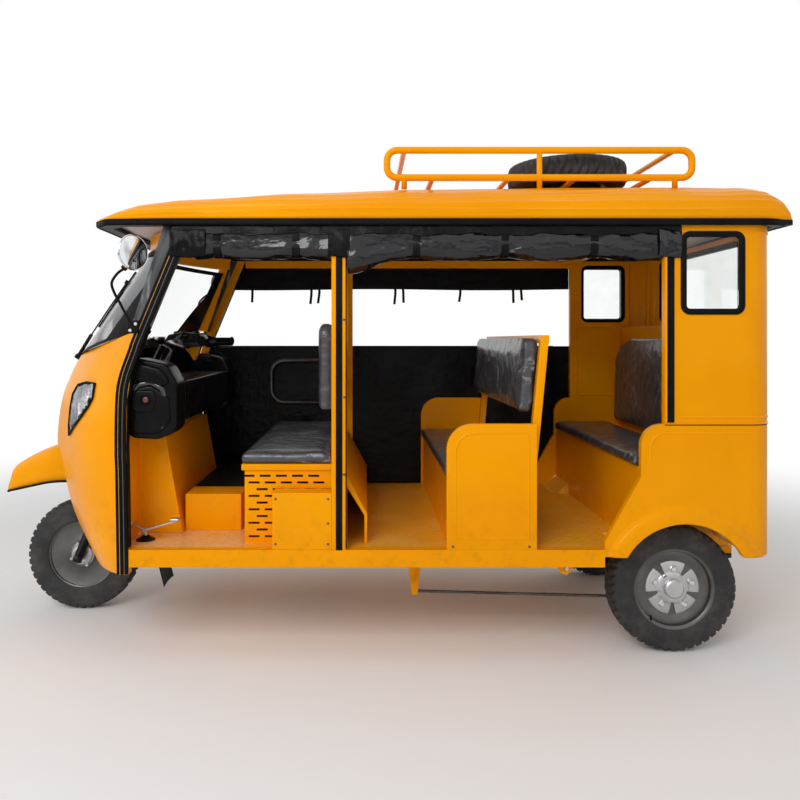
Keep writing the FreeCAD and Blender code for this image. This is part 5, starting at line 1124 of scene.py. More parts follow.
w = wiperSetting
armRoot = carried([onShield("foot", 0.024), onShield("root", 0.026)],
                  [(-0.009, -0.004), (0.009, -0.004), (0.008, 0.005), (-0.008, 0.005)])
armMiddle = (onShield("root", 0.026) + onShield("joint", 0.020)) / 2
armThin = bar(smoothLine([onShield("root", 0.026), armMiddle, onShield("joint", 0.018)], 12), w["arm"], 8)
across, up = np.linspace(w["bladeLow"], w["bladeHigh"], 14).T
bladeLine, rubberLine = shieldPoint(across, up, 0.011), shieldPoint(across, up, 0.004)
piece("wiper_arm", [armRoot, armThin, bar(bladeLine, w["blade"], 8), bar(rubberLine, w["rubber"], 6),
                    bar([onShield("foot", 0.006), onShield("foot", 0.036)], w["cap"], 20),
                    bar([onShield("joint", 0.008), onShield("joint", 0.026)], w["knob"], 16),
                    bar([bladeLine[6] - (0.004, 0, 0.004), bladeLine[8] + (0.004, 0, 0.004)], w["clip"], 10)],
      "dark_trim", sharp=40, instead="wiper")

# Mirrors: a dished round head turned a little outwards, its face, rim, knuckle, bent arm and two bolts.
mirrorSetting = {"centre": (-0.856, -0.748, 1.598), "radius": 0.0665, "turn": math.radians(34),
                 "arm": [(-0.868, -0.742, 1.556), (-0.893, -0.732, 1.538), (-0.918, -0.725, 1.522),
                         (-0.944, -0.712, 1.489), (-0.941, -0.697, 1.454), (-0.9216, -0.682, 1.409),
                         (-0.892, -0.668, 1.345), (-0.872, -0.660, 1.318)],
                 "armRadius": 0.0052, "knuckleRadius": 0.012, "boltRadius": 0.0065,
                 "base": ((-0.905, -0.664, 1.296), (-0.858, -0.652, 1.348)),
                 "bolts": [(-0.868, -0.655, 1.333), (-0.889, -0.655, 1.308)]}
# (share of the radius, depth)
mirrorShell = [(0.0, -0.018), (0.4, -0.0165), (0.75, -0.011), (0.94, -0.003), (1, 0.005), (1, 0.0085),
               (0.965, 0.0095), (0.955, 0.0060), (0.0, 0.0060)]
mirrorFace = [(0.0, 0.0078), (0.6, 0.0074), (0.952, 0.0068), (0.952, 0.0055), (0.0, 0.0055)]
mirrorRing = [(0.95, 0.0100), (0.985, 0.0112), (1.012, 0.0090), (1.012, 0.0040), (0.99, 0.0030)]


def turnedAbout(form, turn, spot):
    # x' = x cos - y sin, y' = x sin + y cos, then moved to the spot
    x, y, z = form[0].T
    c, s = math.cos(turn), math.sin(turn)
    return np.stack([x * c - y * s, x * s + y * c, z], -1) + np.array(spot), form[1]


def headTurned(profile):
    # a form turned about X, then about the upright line through the head's centre: it looks back and out
    m = mirrorSetting
    form = turnedForm([(share * m["radius"], depth) for share, depth in profile], (0, 0, 0), "x", 56)
    return turnedAbout(form, -m["turn"], m["centre"])


m = mirrorSetting
armLine = smoothLine(m["arm"], 60)
knuckleLine = [armLine[0] + (0.018, -0.002, 0.018), armLine[7] + (-0.004, 0, -0.002)]
bolts = [bar([np.array(spot) - (0, 0.003, 0), np.array(spot) - (0, 0.016, 0)], m["boltRadius"], 6)
         for spot in m["bolts"]]
shells = [headTurned(mirrorShell), bar(knuckleLine, m["knuckleRadius"], 16), bar(armLine, m["armRadius"]),
          roundedBox(*m["base"], 0.006)]
piece("mirror_shells", bothSides(shells), "dark_trim", sharp=40, instead="mirrors")
piece("mirror_faces", bothSides([headTurned(mirrorFace)]), "mirror_face", sharp=40)
piece("mirror_rings", bothSides([headTurned(mirrorRing)] + bolts), "chrome", sharp=40)


# Headlamps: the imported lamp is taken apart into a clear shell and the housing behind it.
def lampParts():
    # faces that look outwards are the lens, the rest turned over are the housing; the rim is where they meet
    mesh = merged(nodes["headlamps"].data.copy())
    spots = spotsOf(mesh)
    lens, housing = [], []
    for polygon in mesh.polygons:
        outward = polygon.normal.y * (1 if polygon.center.y > 0 else -1)
        (lens if outward > 0.02 else housing).append(list(polygon.vertices))
    rim = np.intersect1d(np.concatenate(lens), np.concatenate(housing))
    rim = spots[rim[spots[rim][:, 1] < 0]]
    middle = rim.mean(0)
    rim = rim[np.argsort(np.arctan2(rim[:, 2] - middle[2], rim[:, 0] - middle[0]))]
    return spots, lens, [face[::-1] for face in housing], rim


def keptForm(spots, faces):
    # only the points that these faces use
    used, index = np.unique(np.concatenate(faces), return_inverse=True)
    cuts = np.cumsum([len(face) for face in faces])[:-1]
    return spots[used], [part.tolist() for part in np.split(index, cuts)]


spots, lensFaces, housingFaces, lampRim = lampParts()
lensForm = keptForm(spots, lensFaces)
nearLens = lensForm[0][lensForm[0][:, 1] < 0]
lampSetting = {"way": (-0.80, -0.60, 0.0), "bowls": [(-1.170, 0.988, 0.040), (-1.125, 1.048, 0.026)],
               "back": 0.030, "behind": 0.007, "focus": 0.008, "bulbBack": 0.010, "bulbShare": 0.18,
               "gasket": 0.0042}


def bowlForm(x, z, radius, steps=40):
    # a parabola turned about the lamp's looking direction: depth = back * (1 - share squared); its mouth
    # stands behind the nearest point of the lens
    way = np.array(lampSetting["way"]) / np.linalg.norm(lampSetting["way"])
    side = np.cross(way, (0, 0, 1))
    rise = np.cross(side, way)
    face = nearLens[np.argmin((nearLens[:, 0] - x) ** 2 + (nearLens[:, 2] - z) ** 2)][1]
    mouth = np.array([x, face, z]) - way * lampSetting["behind"]
    share = np.linspace(0, 1, 10)[:, None]
    turn = np.linspace(0, 2 * math.pi, steps, endpoint=False)[None]
    depth = lampSetting["back"] * (1 - share ** 2)
    reach = radius * share * (1 + 0.02 * np.sin(turn * 12))
    points = (mouth - way * depth[..., None] + side * (reach * np.cos(turn))[..., None]
              + rise * (reach * np.sin(turn))[..., None])
    return grid(points, wrapV=True), mouth - way * (lampSetting["back"] - lampSetting["focus"]), way


bowls, bulbs = [], []
for x, z, radius in lampSetting["bowls"]:
    bowl, focus, way = bowlForm(x, z, radius)
    bowls.append(bowl)
    bulbs.append(bar([focus - way * lampSetting["bulbBack"], focus + way * lampSetting["focus"]],
                     radius * lampSetting["bulbShare"], 16))
gasket = carried(lampRim, ringProfile(lampSetting["gasket"], 10), True, (0, -1, 0))
cheekDrawn(sheetPiece("headlamp_lens", lensForm, "lamp_lens", 0.002, offset=-1.0, sharp=40,
                      instead="headlamps"))
cheekDrawn(piece("headlamp_housing", keptForm(spots, housingFaces), "lamp_silver", sharp=25, closed=False))
cheekDrawn(sheetPiece("headlamp_bowls", bothSides(bowls), "lamp_silver", 0.0008, sharp=60))
cheekDrawn(piece("headlamp_bulbs", bothSides(bulbs), "lamp_lens", sharp=40))
cheekDrawn(piece("headlamp_gaskets", bothSides([gasket]), "seal_rubber", sharp=60))
print("front trim, mirrors, wiper and lamps made")


# Body: pressed beads, seams, the wheel arch flares, pillar channels and the window frames.
bodySetting = {"face": 0.650, "front": 0.332, "benchRear": 0.736, "belt": 0.945, "quarterFront": 1.085,
               "rear": 1.615, "corner": 0.100, "inset": 0.036}


def onFace(corners):
    # (x, z) corners on the body's left side
    return [(x, -bodySetting["face"], z) for x, z in corners]


def bead(line, half=0.005, rise=0.0028, closed=False, up=(0, -1, 0)):
    # a raised pressing: rise times the squared cosine across its width
    across = np.linspace(-1, 1, 9)
    profile = [(half * a, rise * math.cos(a * math.pi / 2) ** 2) for a in across]
    return carried(line, profile + [(half, -0.002), (-half, -0.002)], closed, up)


b = bodySetting
cornerX = b["rear"] - b["corner"]
benchRear, benchFront, inside = b["benchRear"] - 0.086, b["front"] + 0.034, b["belt"] - b["inset"]
benchCorner = roundedLine(onFace([(benchRear, inside), (benchFront, inside), (benchFront, 0.500)]), 0.075, 10)
benchLine = np.vstack([benchCorner, onFace([(benchRear, 0.500)])])
quarterLine = roundedLine(onFace([(cornerX, inside), (b["quarterFront"] + 0.040, inside),
                                  (b["quarterFront"] + 0.036, 0.800)]), 0.055, 10)


def roundCorner(x, z):
    # a level line from x to the rear corner, round it and across the back
    turn = np.linspace(0, math.pi / 2, 9)[1:]
    bend = [(cornerX + b["corner"] * math.sin(a), -b["face"] + b["corner"] * (1 - math.cos(a)), z)
            for a in turn]
    return np.array(onFace([(x, z), (cornerX, z)]) + bend + [(b["rear"], 0, z)], float)


seams = []
for x, z, half, rise in ((1.176, b["belt"] + 0.001, 0.0035, 0.0045), (1.236, b["belt"] + 0.026, 0.006, 0.003),
                         (1.236, 1.690, 0.007, 0.0035)):
    ring = [(-0.0015, -half), (rise * 0.7, -half * 0.6), (rise, 0), (rise * 0.7, half * 0.6), (-0.0015, half)]
    seams.append(carried(roundCorner(x, z), ring))
piece("body_beads", bothSides([bead(quarterLine)] + seams) + [bead(benchLine, closed=True)], "yellow_paint",
      sharp=50)

archSetting = {"x": 1.254, "z": 0.300, "low": 0.431, "swell": 0.16, "swellAt": 1.75, "swellHalf": 0.35,
               "profile": [(0.2605, -0.004), (0.2602, 0.0085), (0.2625, 0.0128), (0.268, 0.0146),
                           (0.280, 0.0148), (0.292, 0.0138), (0.302, 0.0118), (0.311, 0.0082),
                           (0.318, 0.0042), (0.325, 0.0012), (0.331, -0.0010)]}


def flareForm(steps=90):
    # rings about the wheel's centre whose height follows the profile; each ends level with the body's edge
    s = archSetting
    profile = smoothLine([(r, out, 0) for r, out in s["profile"]], 40)
    radius, out = profile[:, 0][None], profile[:, 1][None]
    start = np.arcsin(np.clip((s["low"] - s["z"]) / radius, -1, 1))
    turn = start + (math.pi - 2 * start) * np.linspace(0, 1, steps)[:, None]
    out = out * (1 + s["swell"] * np.exp(-((turn - s["swellAt"]) / s["swellHalf"]) ** 2))
    x, z = s["x"] + radius * np.cos(turn), s["z"] + radius * np.sin(turn)
    return grid(np.stack([x, -b["face"] - out, z], -1))


sheetPiece("arch_flares", bothSides([flareForm()]), "yellow_paint", 0.001, offset=-1.0, sharp=60)


def channel(x0, x1, low, high, rise):
    return roundedBox((x0, -b["face"] - rise, low), (x1, -b["face"] + 0.002, high), 0.0015)


channels = [channel(-0.098, -0.073, 0.457, 1.676, 0.004), channel(-0.0605, -0.0555, 0.462, 1.676, 0.003),
            channel(1.186, 1.212, 0.952, 1.714, 0.006)]
piece("pillar_channels", bothSides(channels), "seal_rubber", sharp=40)
piece("pillar_edges", bothSides([channel(1.176, 1.184, 0.952, 1.714, 0.007)]), "yellow_paint", sharp=40)

windowSetting = {"round": 0.030, "lip": 0.006, "frame": 0.0165, "low": 1.376, "high": 1.686,
                 "sideFront": 1.244, "sideRear": 1.480, "backHalf": 0.400}


def frameForm(corners, way):
    # a soft rubber section carried round the opening, fat over the panel and thin at the pane
    lip, inner = windowSetting["lip"], windowSetting["frame"]
    section = [(-lip, 0.000), (-lip - 0.001, 0.004), (-lip + 0.003, 0.0078), (0.004, 0.0086),
               (0.011, 0.0070), (inner, 0.0035), (inner - 0.001, -0.004), (inner - 0.004, -0.012),
               (0.003, -0.026), (-lip, -0.0255)]
    line = roundedLine(corners, windowSetting["round"], 10, True)
    side, _ = frames(line, True, way)
    if ((line.mean(0) - line) * side).sum() < 0:
        section = [(-u, v) for u, v in section]
    return carried(line, section, True, way)


def rectangle(u0, u1, v0, v1):
    return [(u0, v0), (u1, v0), (u1, v1), (u0, v1)]


w = windowSetting
sideFrame = frameForm(onFace(rectangle(w["sideFront"], w["sideRear"], w["low"], w["high"])), (0, -1, 0))
backLine = [(b["rear"], y, z) for y, z in rectangle(-w["backHalf"], w["backHalf"], w["low"], w["high"])]
backFrame = frameForm(backLine, (1, 0, 0))
piece("window_frames", bothSides([sideFrame]) + [backFrame], "seal_rubber", sharp=60, instead="window_seals")
print("body trim made")


# Folded sheet parts: flat faces are joined again and their edges are rounded.
edgeSetting = {"flat": math.radians(1.0), "sharp": math.radians(30), "width": 0.003, "segments": 3}


def flatsJoined(work):
    bmesh.ops.dissolve_limit(work, angle_limit=edgeSetting["flat"], verts=work.verts, edges=work.edges)


for name in ("floor_step", "front_bulkhead", "driver_seat_tray", "battery_box", "middle_bench_frame",
             "rear_bench_frame", "centre_pillars"):
    made = placed(name + "_softened", merged(nodes[name].data.copy(), flatsJoined), nodes[name]["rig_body"],
                  instead=name)
    edge = made.modifiers.new("edges", "BEVEL")
    edge.width = edgeSetting["width"]
    edge.segments = edgeSetting["segments"]
    edge.limit_method = "ANGLE"
    edge.angle_limit = edgeSetting["sharp"]
    edge.harden_normals = True


def softPrism(corners, bend, y0, y1, radius, steps=4):
    # an (x, z) outline with rounded corners between two values of y; both rims are drawn in along its own
    # normals by a quarter circle
    outline = roundedLine([(x, 0, z) for x, z in corners], bend, 8, True)
    side, _ = frames(outline, True, (0, 1, 0))
    if ((outline.mean(0) - outline) * side).sum() < 0:
        side = -side
    turn = np.linspace(0, math.pi / 2, steps + 1)
    inset = np.concatenate([radius * (1 - np.sin(turn)), radius * (1 - np.cos(turn))])
    depth = np.concatenate([y0 + radius * (1 - np.cos(turn)), y1 - radius * (1 - np.sin(turn))])
    rings = outline[None] + side[None] * inset[:, None, None]
    rings[..., 1] = depth[:, None]
    return grid(rings, wrapV=True, capU=True)


def swollenBar(path, radii, steps=24):
    # a round bar whose radius changes along its path
    path = np.array(path)
    side, rise = frames(path)
    ring, radii = ringProfile(1.0, steps)[None], np.array(radii)[:, None, None]
    section = (side[:, None] * ring[..., :1] + rise[:, None] * ring[..., 1:]) * radii
    return grid(path[:, None] + section, wrapV=True, capU=True)


def sixSided(flat, wide, thick):
    return [(-flat, -thick), (flat, -thick), (wide, 0), (flat, thick), (-flat, thick), (-wide, 0)]


# Dashboard: two moulded pods, the tray between them, and a round tell-tale with its red lens on the left.
dashSetting = {"outer": 0.6148, "inner": 0.466, "front": -0.930, "rear": -0.7255, "low": 0.8785,
               "high": 1.2100, "lamp": (-0.846, 1.036), "lampRadius": 0.022, "lampOut": 0.0145}
d = dashSetting
outer, inner, shallow, front = d["outer"], -d["inner"], -d["inner"] - 0.08, d["front"] + 0.010
pods = [softPrism([(d["front"], d["low"] + 0.006), (-0.800, d["low"]), (d["rear"], d["low"] + 0.030),
                   (d["rear"], 1.100), (-0.765, 1.175), (d["front"], d["high"])], 0.050,
                  -outer + 0.012, inner, 0.010),
        softPrism([(front, 1.112), (-0.770, 1.086), (-0.752, 1.110), (-0.790, 1.160), (front, 1.196)], 0.03,
                  -outer, shallow, 0.013),
        softPrism([(front, 0.900), (-0.795, 0.900), (-0.748, 0.950), (-0.756, 1.050), (-0.830, 1.096),
                   (front, 1.076)], 0.045, -outer + 0.003, shallow, 0.012),
        softPrism([(-0.905, 0.985), (-0.815, 0.985), (-0.800, 1.045), (-0.815, 1.075), (-0.905, 1.075)],
                  0.025, -outer - 0.002, shallow, 0.009)]
tray = [roundedBox((-0.924, inner + 0.0005, 1.0805), (d["rear"], -inner - 0.0005, 1.1045), 0.008),
        roundedBox((-0.7365, inner + 0.0005, 0.941), (d["rear"], -inner - 0.0005, 1.1040), 0.005)]
piece("dashboard_moulding", bothSides(pods) + tray, "glossy_trim", sharp=50, instead="dashboard")
swirlLines = ([(-0.915, 1.178), (-0.860, 1.160), (-0.835, 1.128), (-0.860, 1.112), (-0.915, 1.118)],
              [(-0.900, 1.052), (-0.884, 1.094), (-0.830, 1.104), (-0.785, 1.080), (-0.770, 1.020)],
              [(-0.895, 0.925), (-0.860, 0.955), (-0.815, 0.950), (-0.780, 0.925)])
swirls = [bar(roundedLine([(x, -outer + 0.016, z) for x, z in line], 0.03, 6), 0.013, 16)
          for line in swirlLines]
piece("dashboard_swirls", bothSides(swirls), "wet_trim", sharp=60)
lampAt = (d["lamp"][0], -outer + d["lampOut"], d["lamp"][1])
r = d["lampRadius"]
piece("telltale_bezel", turnedForm([(r, -0.014), (r * 0.97, -0.019), (r * 0.86, -0.0205), (r * 0.80, -0.0165),
                                    (r * 0.80, -0.008), (r, -0.008)], lampAt, "y", 40, closed=True),
      "glossy_trim", sharp=50)
r = d["lampRadius"] * 0.79
piece("telltale_lens", turnedForm([(0, -0.0175), (r * 0.5, -0.0170), (r * 0.85, -0.0150), (r, -0.0115),
                                   (r, -0.006), (0, -0.006)], lampAt, "y", 40), "red_plastic", sharp=40)

# Pedals: the rocker on its post and boot, the far brake pedal, and a red-gripped parking lever.
pedalSetting = {"x": -0.879, "y": -0.506, "brakeY": 0.445, "leverX": -0.640, "leverY": 0.430, "floor": 0.457}
p = pedalSetting
x, y, floorZ = p["x"], p["y"], p["floor"]
rocker = carried(roundedLine([(-0.944, y, 0.5245), (x, y, 0.4975), (-0.748, y, 0.5360)], 0.012, 5),
                 sixSided(0.010, 0.011, 0.0032))
piece("gear_rocker", [rocker, bar([(x, y, floorZ + 0.001), (x, y, 0.502)], 0.0085, 16),
                      bar([(x, y - 0.015, 0.4975), (x, y + 0.015, 0.4975)], 0.010, 16),
                      roundedBox((-0.778, y - 0.016, 0.5345), (-0.740, y + 0.016, 0.5455), 0.004),
                      roundedBox((-0.956, y - 0.016, 0.5215), (-0.928, y + 0.016, 0.5325), 0.004)],
      "bare_metal", sharp=40, instead="foot_pedals")
boot = turnedForm([(0, 0.0205), (0.012, 0.0200), (0.0175, 0.0165), (0.0165, 0.0125), (0.0230, 0.0105),
                   (0.0235, 0.0075), (0.0330, 0.0060), (0.0385, 0.0030), (0.0385, 0.0003), (0, 0.0003)],
                  (x, y, floorZ), "z", 48)
y = p["brakeY"]
brakeLine = smoothLine([(-0.925, y, 0.640), (-0.895, y, 0.628), (-0.868, y, 0.585), (-0.856, y, 0.560)], 16)
brakeArm = bar(brakeLine, 0.0075, 10)
brakePad = roundedBox((-0.880, y - 0.037, 0.545), (-0.822, y + 0.037, 0.557), 0.005)
padRibs = [roundedBox((-0.876 + 0.012 * k, y - 0.033, 0.5568), (-0.870 + 0.012 * k, y + 0.033, 0.5595), 0.001)
           for k in range(5)]
piece("pedal_rubbers", [boot, brakeArm, brakePad] + padRibs, "dark_trim", sharp=40)
x, y = p["leverX"], p["leverY"]
leverLine = smoothLine([(x, y, 0.458), (-0.648, y, 0.490), (-0.668, y, 0.530), (-0.684, y, 0.556)], 16)
leverFoot = turnedForm([(0, 0.012), (0.020, 0.010), (0.028, 0), (0, 0)], (x, y, floorZ), "z", 32)
piece("parking_lever", [bar(leverLine, 0.007, 10), leverFoot], "black_paint", sharp=40, slot="dark_trim")
gripWay = leverLine[-1] - leverLine[-3]
gripWay /= np.linalg.norm(gripWay)
piece("parking_grip", swollenBar([leverLine[-1] + gripWay * t for t in (-0.030, -0.020, 0.000, 0.018, 0.030)],
                                 (0.017, 0.024, 0.030, 0.027, 0.014)), "red_plastic", sharp=60)

# Handlebar fittings: switch boxes, blade levers, grip ribs and the round meter.
gripSetting = {"outer": (-0.690, -0.345, 1.2658), "inner": (-0.820, -0.215, 1.2658), "long": 0.120,
               "radius": 0.0172, "rib": 0.0014, "boxAt": 0.150}
g = gripSetting
outerSpot, innerSpot = np.array(g["outer"]), np.array(g["inner"])
along = (innerSpot - outerSpot) / np.linalg.norm(innerSpot - outerSpot)
share = np.linspace(0, 1, 61)
radii = g["radius"] + g["rib"] * (np.sin(share * 130) > 0) + 0.004 * (share < 0.04) + 0.005 * (share > 0.95)
gripForm = swollenBar(outerSpot + along * (share[:, None] * g["long"] - 0.006), radii)
boxAt = outerSpot + along * g["boxAt"]
switches = [turnedAbout(roundedBox(low, high, radius), math.atan2(along[1], along[0]), boxAt)
            for low, high, radius in (((-0.024, -0.022, -0.024), (0.024, 0.022, 0.026), 0.010),
                                      ((-0.010, -0.010, 0.024), (0.010, 0.010, 0.030), 0.002),
                                      ((0.020, -0.012, -0.016), (0.058, 0.012, 0.016), 0.006))]
root = boxAt + along * 0.045 + (-0.010, 0, 0.002)
leverPath = smoothLine([root] + [root - along * back + shift for back, shift in (
    (0.030, (-0.036, -0.002, -0.002)), (0.085, (-0.050, -0.004, -0.012)), (0.150, (-0.040, 0, -0.026)))], 30)
levers = [carried(leverPath, sixSided(0.0075, 0.009, 0.003)),
          bar([leverPath[-1] - (0.004, 0, 0), leverPath[-1] + (0.004, 0, 0)], 0.009, 16)]
for name, forms, finish in (("grips", [gripForm], "seal_rubber"), ("switch_boxes", switches, "dark_trim"),
                            ("brake_levers", levers, "bare_metal")):
    piece(name, bothSides(forms), finish, "steering", 40)
low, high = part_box("instrument_cluster")
meterAt = (low.x + 0.048, 0, high.z)
meterRing = [(0.0485, -0.010), (0.0500, -0.002), (0.0488, 0.0035), (0.0450, 0.0045), (0.0420, 0.0020),
             (0.0420, -0.004), (0.0480, -0.010)]
meterGlass = [(0, 0.0018), (0.030, 0.0014), (0.0418, 0.0006), (0.0418, -0.0008), (0, -0.0008)]
piece("meter_ring", turnedForm(meterRing, meterAt, "z", 56, closed=True), "chrome", "steering", 40)
piece("meter_glass", turnedForm(meterGlass, meterAt, "z", 56), "glossy_trim", "steering", 40)

# Rubber mat on the far part of the step.
matSetting = {"near": -0.205, "front": 0.006, "rear": 0.004, "far": 0.006, "thick": 0.0045, "round": 0.0018}
m = matSetting
low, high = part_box("floor_step")
mat = roundedBox((low.x + m["front"], m["near"], high.z + 0.0003),
                 (high.x - m["rear"], high.y - m["far"], high.z + m["thick"]), m["round"])
piece("step_mat", mat, "seal_rubber", sharp=50)


# Covers and linings: what lies above a height on a CAD node, without its unwanted faces, with a wall in
# front of the rest.
def coverFrom(name, node, height, unwanted, finish, thick, sharp=None):
    def cut(work):
        bmesh.ops.bisect_plane(work, geom=work.verts[:] + work.edges[:] + work.faces[:],
                               plane_co=(0, 0, height), plane_no=(0, 0, 1), clear_inner=True)
        bmesh.ops.delete(work, geom=[face for face in work.faces if unwanted(face)], context="FACES")
    made = placed(name, merged(nodes[node].data.copy(), cut), finish=finish, sharp=sharp)
    return walled(made, thick, 1.0)


def notOutside(face):  # keeps a post's outer, front and rear faces
    outward = face.normal.y * math.copysign(1, face.calc_center_median().y)
    return -0.3 <= face.normal.x < 0.5 and outward <= 0.25


def notBehind(face):  # keeps a post's rear faces
    return face.normal.x < 0.5


def notInside(face):  # keeps the cowl's faces that look at the cabin's middle
    spot = face.calc_center_median()
    return face.normal.dot((-0.80 - spot.x, -spot.y, 0)) < 0.05


coverFrom("post_covers", "front_pillars", 1.325, notOutside, "cheek_film", 0.0016, 0)
coverFrom("jamb_linings", "front_pillars", 0.4635, notBehind, "seal_rubber", 0.0016, 0)

# Blanking sheet between the windshield post and the jamb, which share its two long edges.
blankSetting = {"y": -0.6316, "low": 1.235, "high": 1.71125, "inset": 0.012, "thick": 0.003,
                "postZ": (1.319, 1.714), "postX": (-0.884, -0.757)}
s = blankSetting
z = np.linspace(s["low"], s["high"], 24)
jamb = jambLine(200)
x = np.stack([np.interp(z, s["postZ"], s["postX"]), np.interp(z, jamb[:, 2], jamb[:, 0]) - s["inset"]], 1)
blank = grid(np.stack([x, x * 0 + s["y"], z[:, None] + x * 0], -1))
sheetPiece("post_blanks", bothSides([blank]), "cheek_film", s["thick"], sharp=35)
cheekDrawn(coverFrom("cowl_lining", "front_cowl", 1.0, notInside, "dark_trim", 0.002))

# Centre of the handlebar: a moulded cover, hanging choke and clutch blades, and the yellow bracket below.
cover = softPrism([(-0.928, 1.262), (-0.905, 1.248), (-0.775, 1.252), (-0.748, 1.275), (-0.762, 1.300),
                   (-0.840, 1.308), (-0.905, 1.296)], 0.012, -0.085, 0.085, 0.014)
knob = [(0, 0.012), (0.014, 0.011), (0.018, 0.006), (0.020, -0.010), (0, -0.010)]
knobs = [turnedForm(knob, (-0.890 + 0.045 * k, 0.03 * (-1) ** k, 1.302), "z", 24) for k in range(3)]
piece("bar_cover", [cover] + knobs, "dark_trim", "steering", 50)
blades = []
for y, x, z in ((-0.205, -0.944, 1.158), (-0.165, -0.897, 1.176)):
    line = smoothLine([(-0.905, y, 1.250), (x + 0.028, y, 1.226), (x + 0.010, y, 1.190), (x, y, z)], 24)
    blades += [carried(line, sixSided(0.0028, 0.0040, 0.007), up=(0, 1, 0)),
               bar([line[-1] - (0, 0.006, 0), line[-1] + (0, 0.006, 0)], 0.008, 14)]
piece("hand_blades", blades, "bare_metal", "steering", 40)
bracketCorners = [(-0.850, 1.236), (-0.775, 1.240), (-0.782, 1.205), (-0.800, 1.168), (-0.818, 1.200)]
piece("bar_bracket", softPrism(bracketCorners, 0.006, -0.012, 0.012, 0.003), "yellow_paint", "steering", 40)

# Inner panel borders and ribs at the back of the cabin, and the seam's shadow line outside.
quarterSetting = {"face": 0.6245, "back": 1.5895, "x0": 1.212, "x1": 1.478, "low": 0.962, "high": 1.345,
                  "ribX": 1.505, "ribLow": 1.305, "ribHigh": 1.700, "backRibs": (-0.56, -0.47, 0.47, 0.56)}
q = quarterSetting
panelLine = roundedLine([(x, q["face"], z) for x, z in rectangle(q["x0"], q["x1"], q["low"], q["high"])],
                        0.02, 6, True)
innerBeads = bothSides([
    bead(panelLine, 0.006, 0.0040, True),
    bead([(q["ribX"], q["face"], q["low"]), (q["ribX"], q["face"], q["ribHigh"])], 0.007, 0.005)])
innerBeads += [bead([(q["back"], y, q["ribLow"]), (q["back"], y, q["ribHigh"])], 0.016, 0.007, up=(-1, 0, 0))
               for y in q["backRibs"]]
piece("cabin_beads", innerBeads, "yellow_paint", sharp=50)
# a black strip that paints the seam's thin shadow line
shadow = carried(roundCorner(1.176, b["belt"] - 0.004),
                 [(-0.001, -0.0014), (0.0011, -0.0014), (0.0011, 0.0014), (-0.001, 0.0014)])
piece("seam_gaps", bothSides([shadow]), "seal_rubber", sharp=60)

# One more row of engine cover slots under the tray, as dark plates that paint the shade inside the slots,
# with panel bolts and the bracket under the sill.
slotSetting = {"x": -0.424, "pitch": 0.065, "long": 0.044, "tall": 0.009, "z": 0.7216, "face": 0.550}
s = slotSetting
plates = []
for k in range(-1, 4):
    x = s["x"] + s["pitch"] * (k + 0.25)
    plates.append(roundedBox((x, -s["face"] - 0.0006, s["z"]),
                             (x + s["long"], -s["face"] + 0.002, s["z"] + s["tall"]), 0.0008))
piece("cover_slots", plates, "seal_rubber", sharp=40)
boltSpots = onFace([(-0.128, 0.655), (-0.128, 0.560), (-0.128, 0.480), (-0.332, 0.480), (-0.332, 0.655),
                    (0.356, 0.470), (0.652, 0.470), (-0.066, 1.05), (-0.066, 0.75), (-0.066, 1.35)])
boltHead = [(0, -0.0036), (0.0028, -0.0032), (0.0046, -0.0018), (0.0050, 0.0005), (0, 0.0005)]
piece("panel_bolts", [turnedForm(boltHead, spot, "y", 18) for spot in boltSpots], "dark_steel", sharp=40)
shackle = [(0.765, 0.420), (0.838, 0.420), (0.834, 0.372), (0.812, 0.344), (0.790, 0.350), (0.768, 0.385)]
piece("sill_bracket", softPrism(shackle, 0.014, -0.604, -0.584, 0.003), "yellow_paint", sharp=40)
sillBolt = [(0, -0.010), (0.007, -0.0095), (0.0095, -0.006), (0.0095, 0.0), (0, 0.0)]
piece("sill_bolt", turnedForm(sillBolt, (0.808, -0.604, 0.372), "y", 24), "bare_metal", sharp=40)

# Black valance that covers the cantrail over the rolled curtain and the head of the centre pillar.
valance = {"x0": -0.735, "x1": 1.237, "y": 0.6585, "high": 1.7165, "low": 1.678, "thick": 0.0010}
x = np.linspace(valance["x0"], valance["x1"], 240)[:, None]
share = np.linspace(0, 1, 12)[None]
y = -valance["y"] - 0.0035 * share * (1 + np.sin(x * 31))
drop = valance["low"] - valance["high"] + 0.004 * np.sin(x * 19) + 0.003 * np.sin(x * 47)
points = np.stack([x + share * 0, y, valance["high"] + drop * share], -1)
hung("roll_valance", points, "curtain_vinyl",
     valance["thick"])
wrapSetting = {"face": -0.6575, "low": 1.592, "high": 1.702, "crease": 0.0012, "hem": 0.003, "end": 0.022}


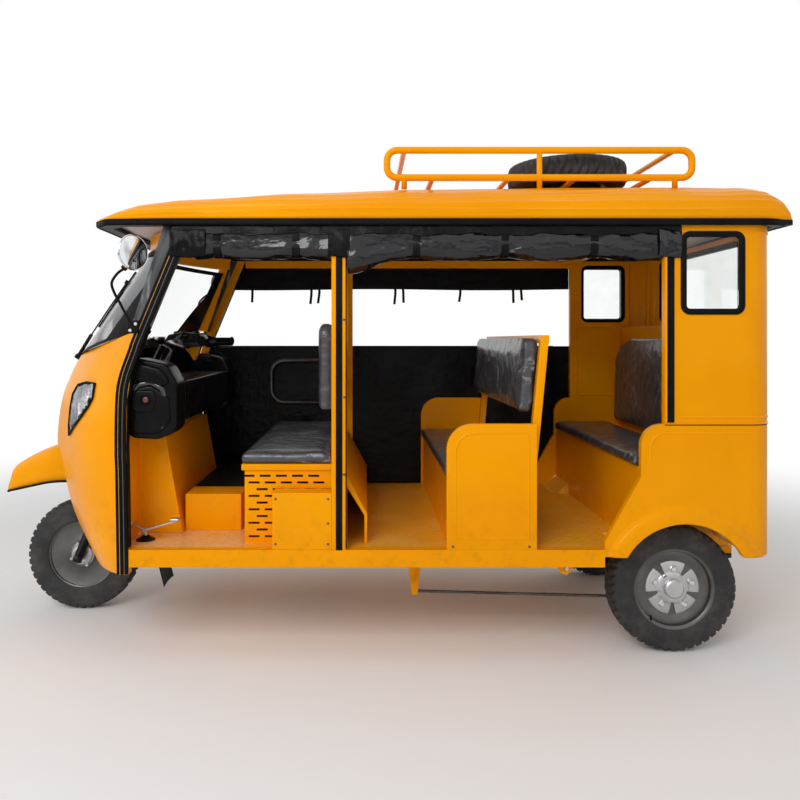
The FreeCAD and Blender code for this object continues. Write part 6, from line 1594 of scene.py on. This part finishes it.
def wrapForm(x0, x1, bulge, freeEnd, seed):
    # cloth drawn over a post: it bulges by a half sine between its upper and lower edge, with slanted
    # creases; its free end is drawn in, the other one keeps its bulge
    s = wrapSetting
    waves = np.random.default_rng(seed)
    x, share = np.linspace(x0, x1, 40)[:, None], np.linspace(0, 1, 24)[None]
    crease = sum(np.sin(x * waves.uniform(60, 150) + share * waves.uniform(-9, 9) + waves.uniform(0, 6.28))
                 for _ in range(5))
    ends = np.clip((x - x0 if freeEnd == "low" else x1 - x) / s["end"], 0, 1) ** 0.5
    arch = np.sin(share * math.pi)
    y = s["face"] - bulge * arch ** 0.7 * (0.35 + 0.65 * ends) + s["crease"] * crease * arch
    z = s["high"] + (s["low"] - s["high"]) * share + s["hem"] * np.sin(x * 40)
    return np.stack([x + share * 0, y, z], -1)


for name, x0, x1, bulge, freeEnd, finish, seed in (
        ("centre", -0.128, -0.044, 0.008, "low", "curtain_vinyl", 3),
        ("rear", 1.150, 1.238, 0.012, "high", "curtain_film", 4),
        ("front", -0.740, -0.600, 0.011, "low", "curtain_vinyl", 6)):
    points = wrapForm(x0, x1, bulge, freeEnd, seed)
    hung("roll_wrap_" + name, points, finish)

# Tail lamps: a dark tray with a red stop field over an amber turn field, each with shallow ribs.
tailLampSetting = {"wide": 0.084, "split": 0.062, "tray": 0.012, "edge": 0.005, "round": 0.006,
                   "rib": 0.007, "pitch": 0.022, "ribOut": 0.006, "ribInset": 0.010, "ribRound": 0.002}
s = tailLampSetting
low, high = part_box("tail_lamps")
left, right, split, ribX = high.y - s["wide"], high.y, low.z + s["split"], high.x - s["ribOut"]
front, back, edge = low.x + 0.010, high.x - 0.002, s["edge"]
reds = [roundedBox((front, left + edge, split + 0.002), (back, right - edge, high.z - edge), s["round"])]
ambers = [roundedBox((front, left + edge, low.z + edge), (back, right - edge, split - 0.001), s["round"])]
for k in range(4):
    z = split + 0.018 + k * s["pitch"]
    reds.append(roundedBox((ribX, left + s["ribInset"], z), (high.x, right - s["ribInset"], z + s["rib"]),
                           s["ribRound"]))
for k in range(3):
    y = left + 0.014 + k * s["pitch"]
    ambers.append(roundedBox((ribX, y, low.z + s["ribInset"]), (high.x, y + s["rib"], split - 0.008),
                             s["ribRound"]))
lampTray = roundedBox((low.x, left, low.z), (low.x + s["tray"], right, high.z), edge)
piece("tail_trays", bothSides([lampTray]), "dark_trim", sharp=40, instead="tail_lamps")
piece("tail_reds", bothSides(reds), "tail_lens", sharp=40)
piece("tail_ambers", bothSides(ambers), "amber_lens", sharp=40)
print("cabin fittings made")
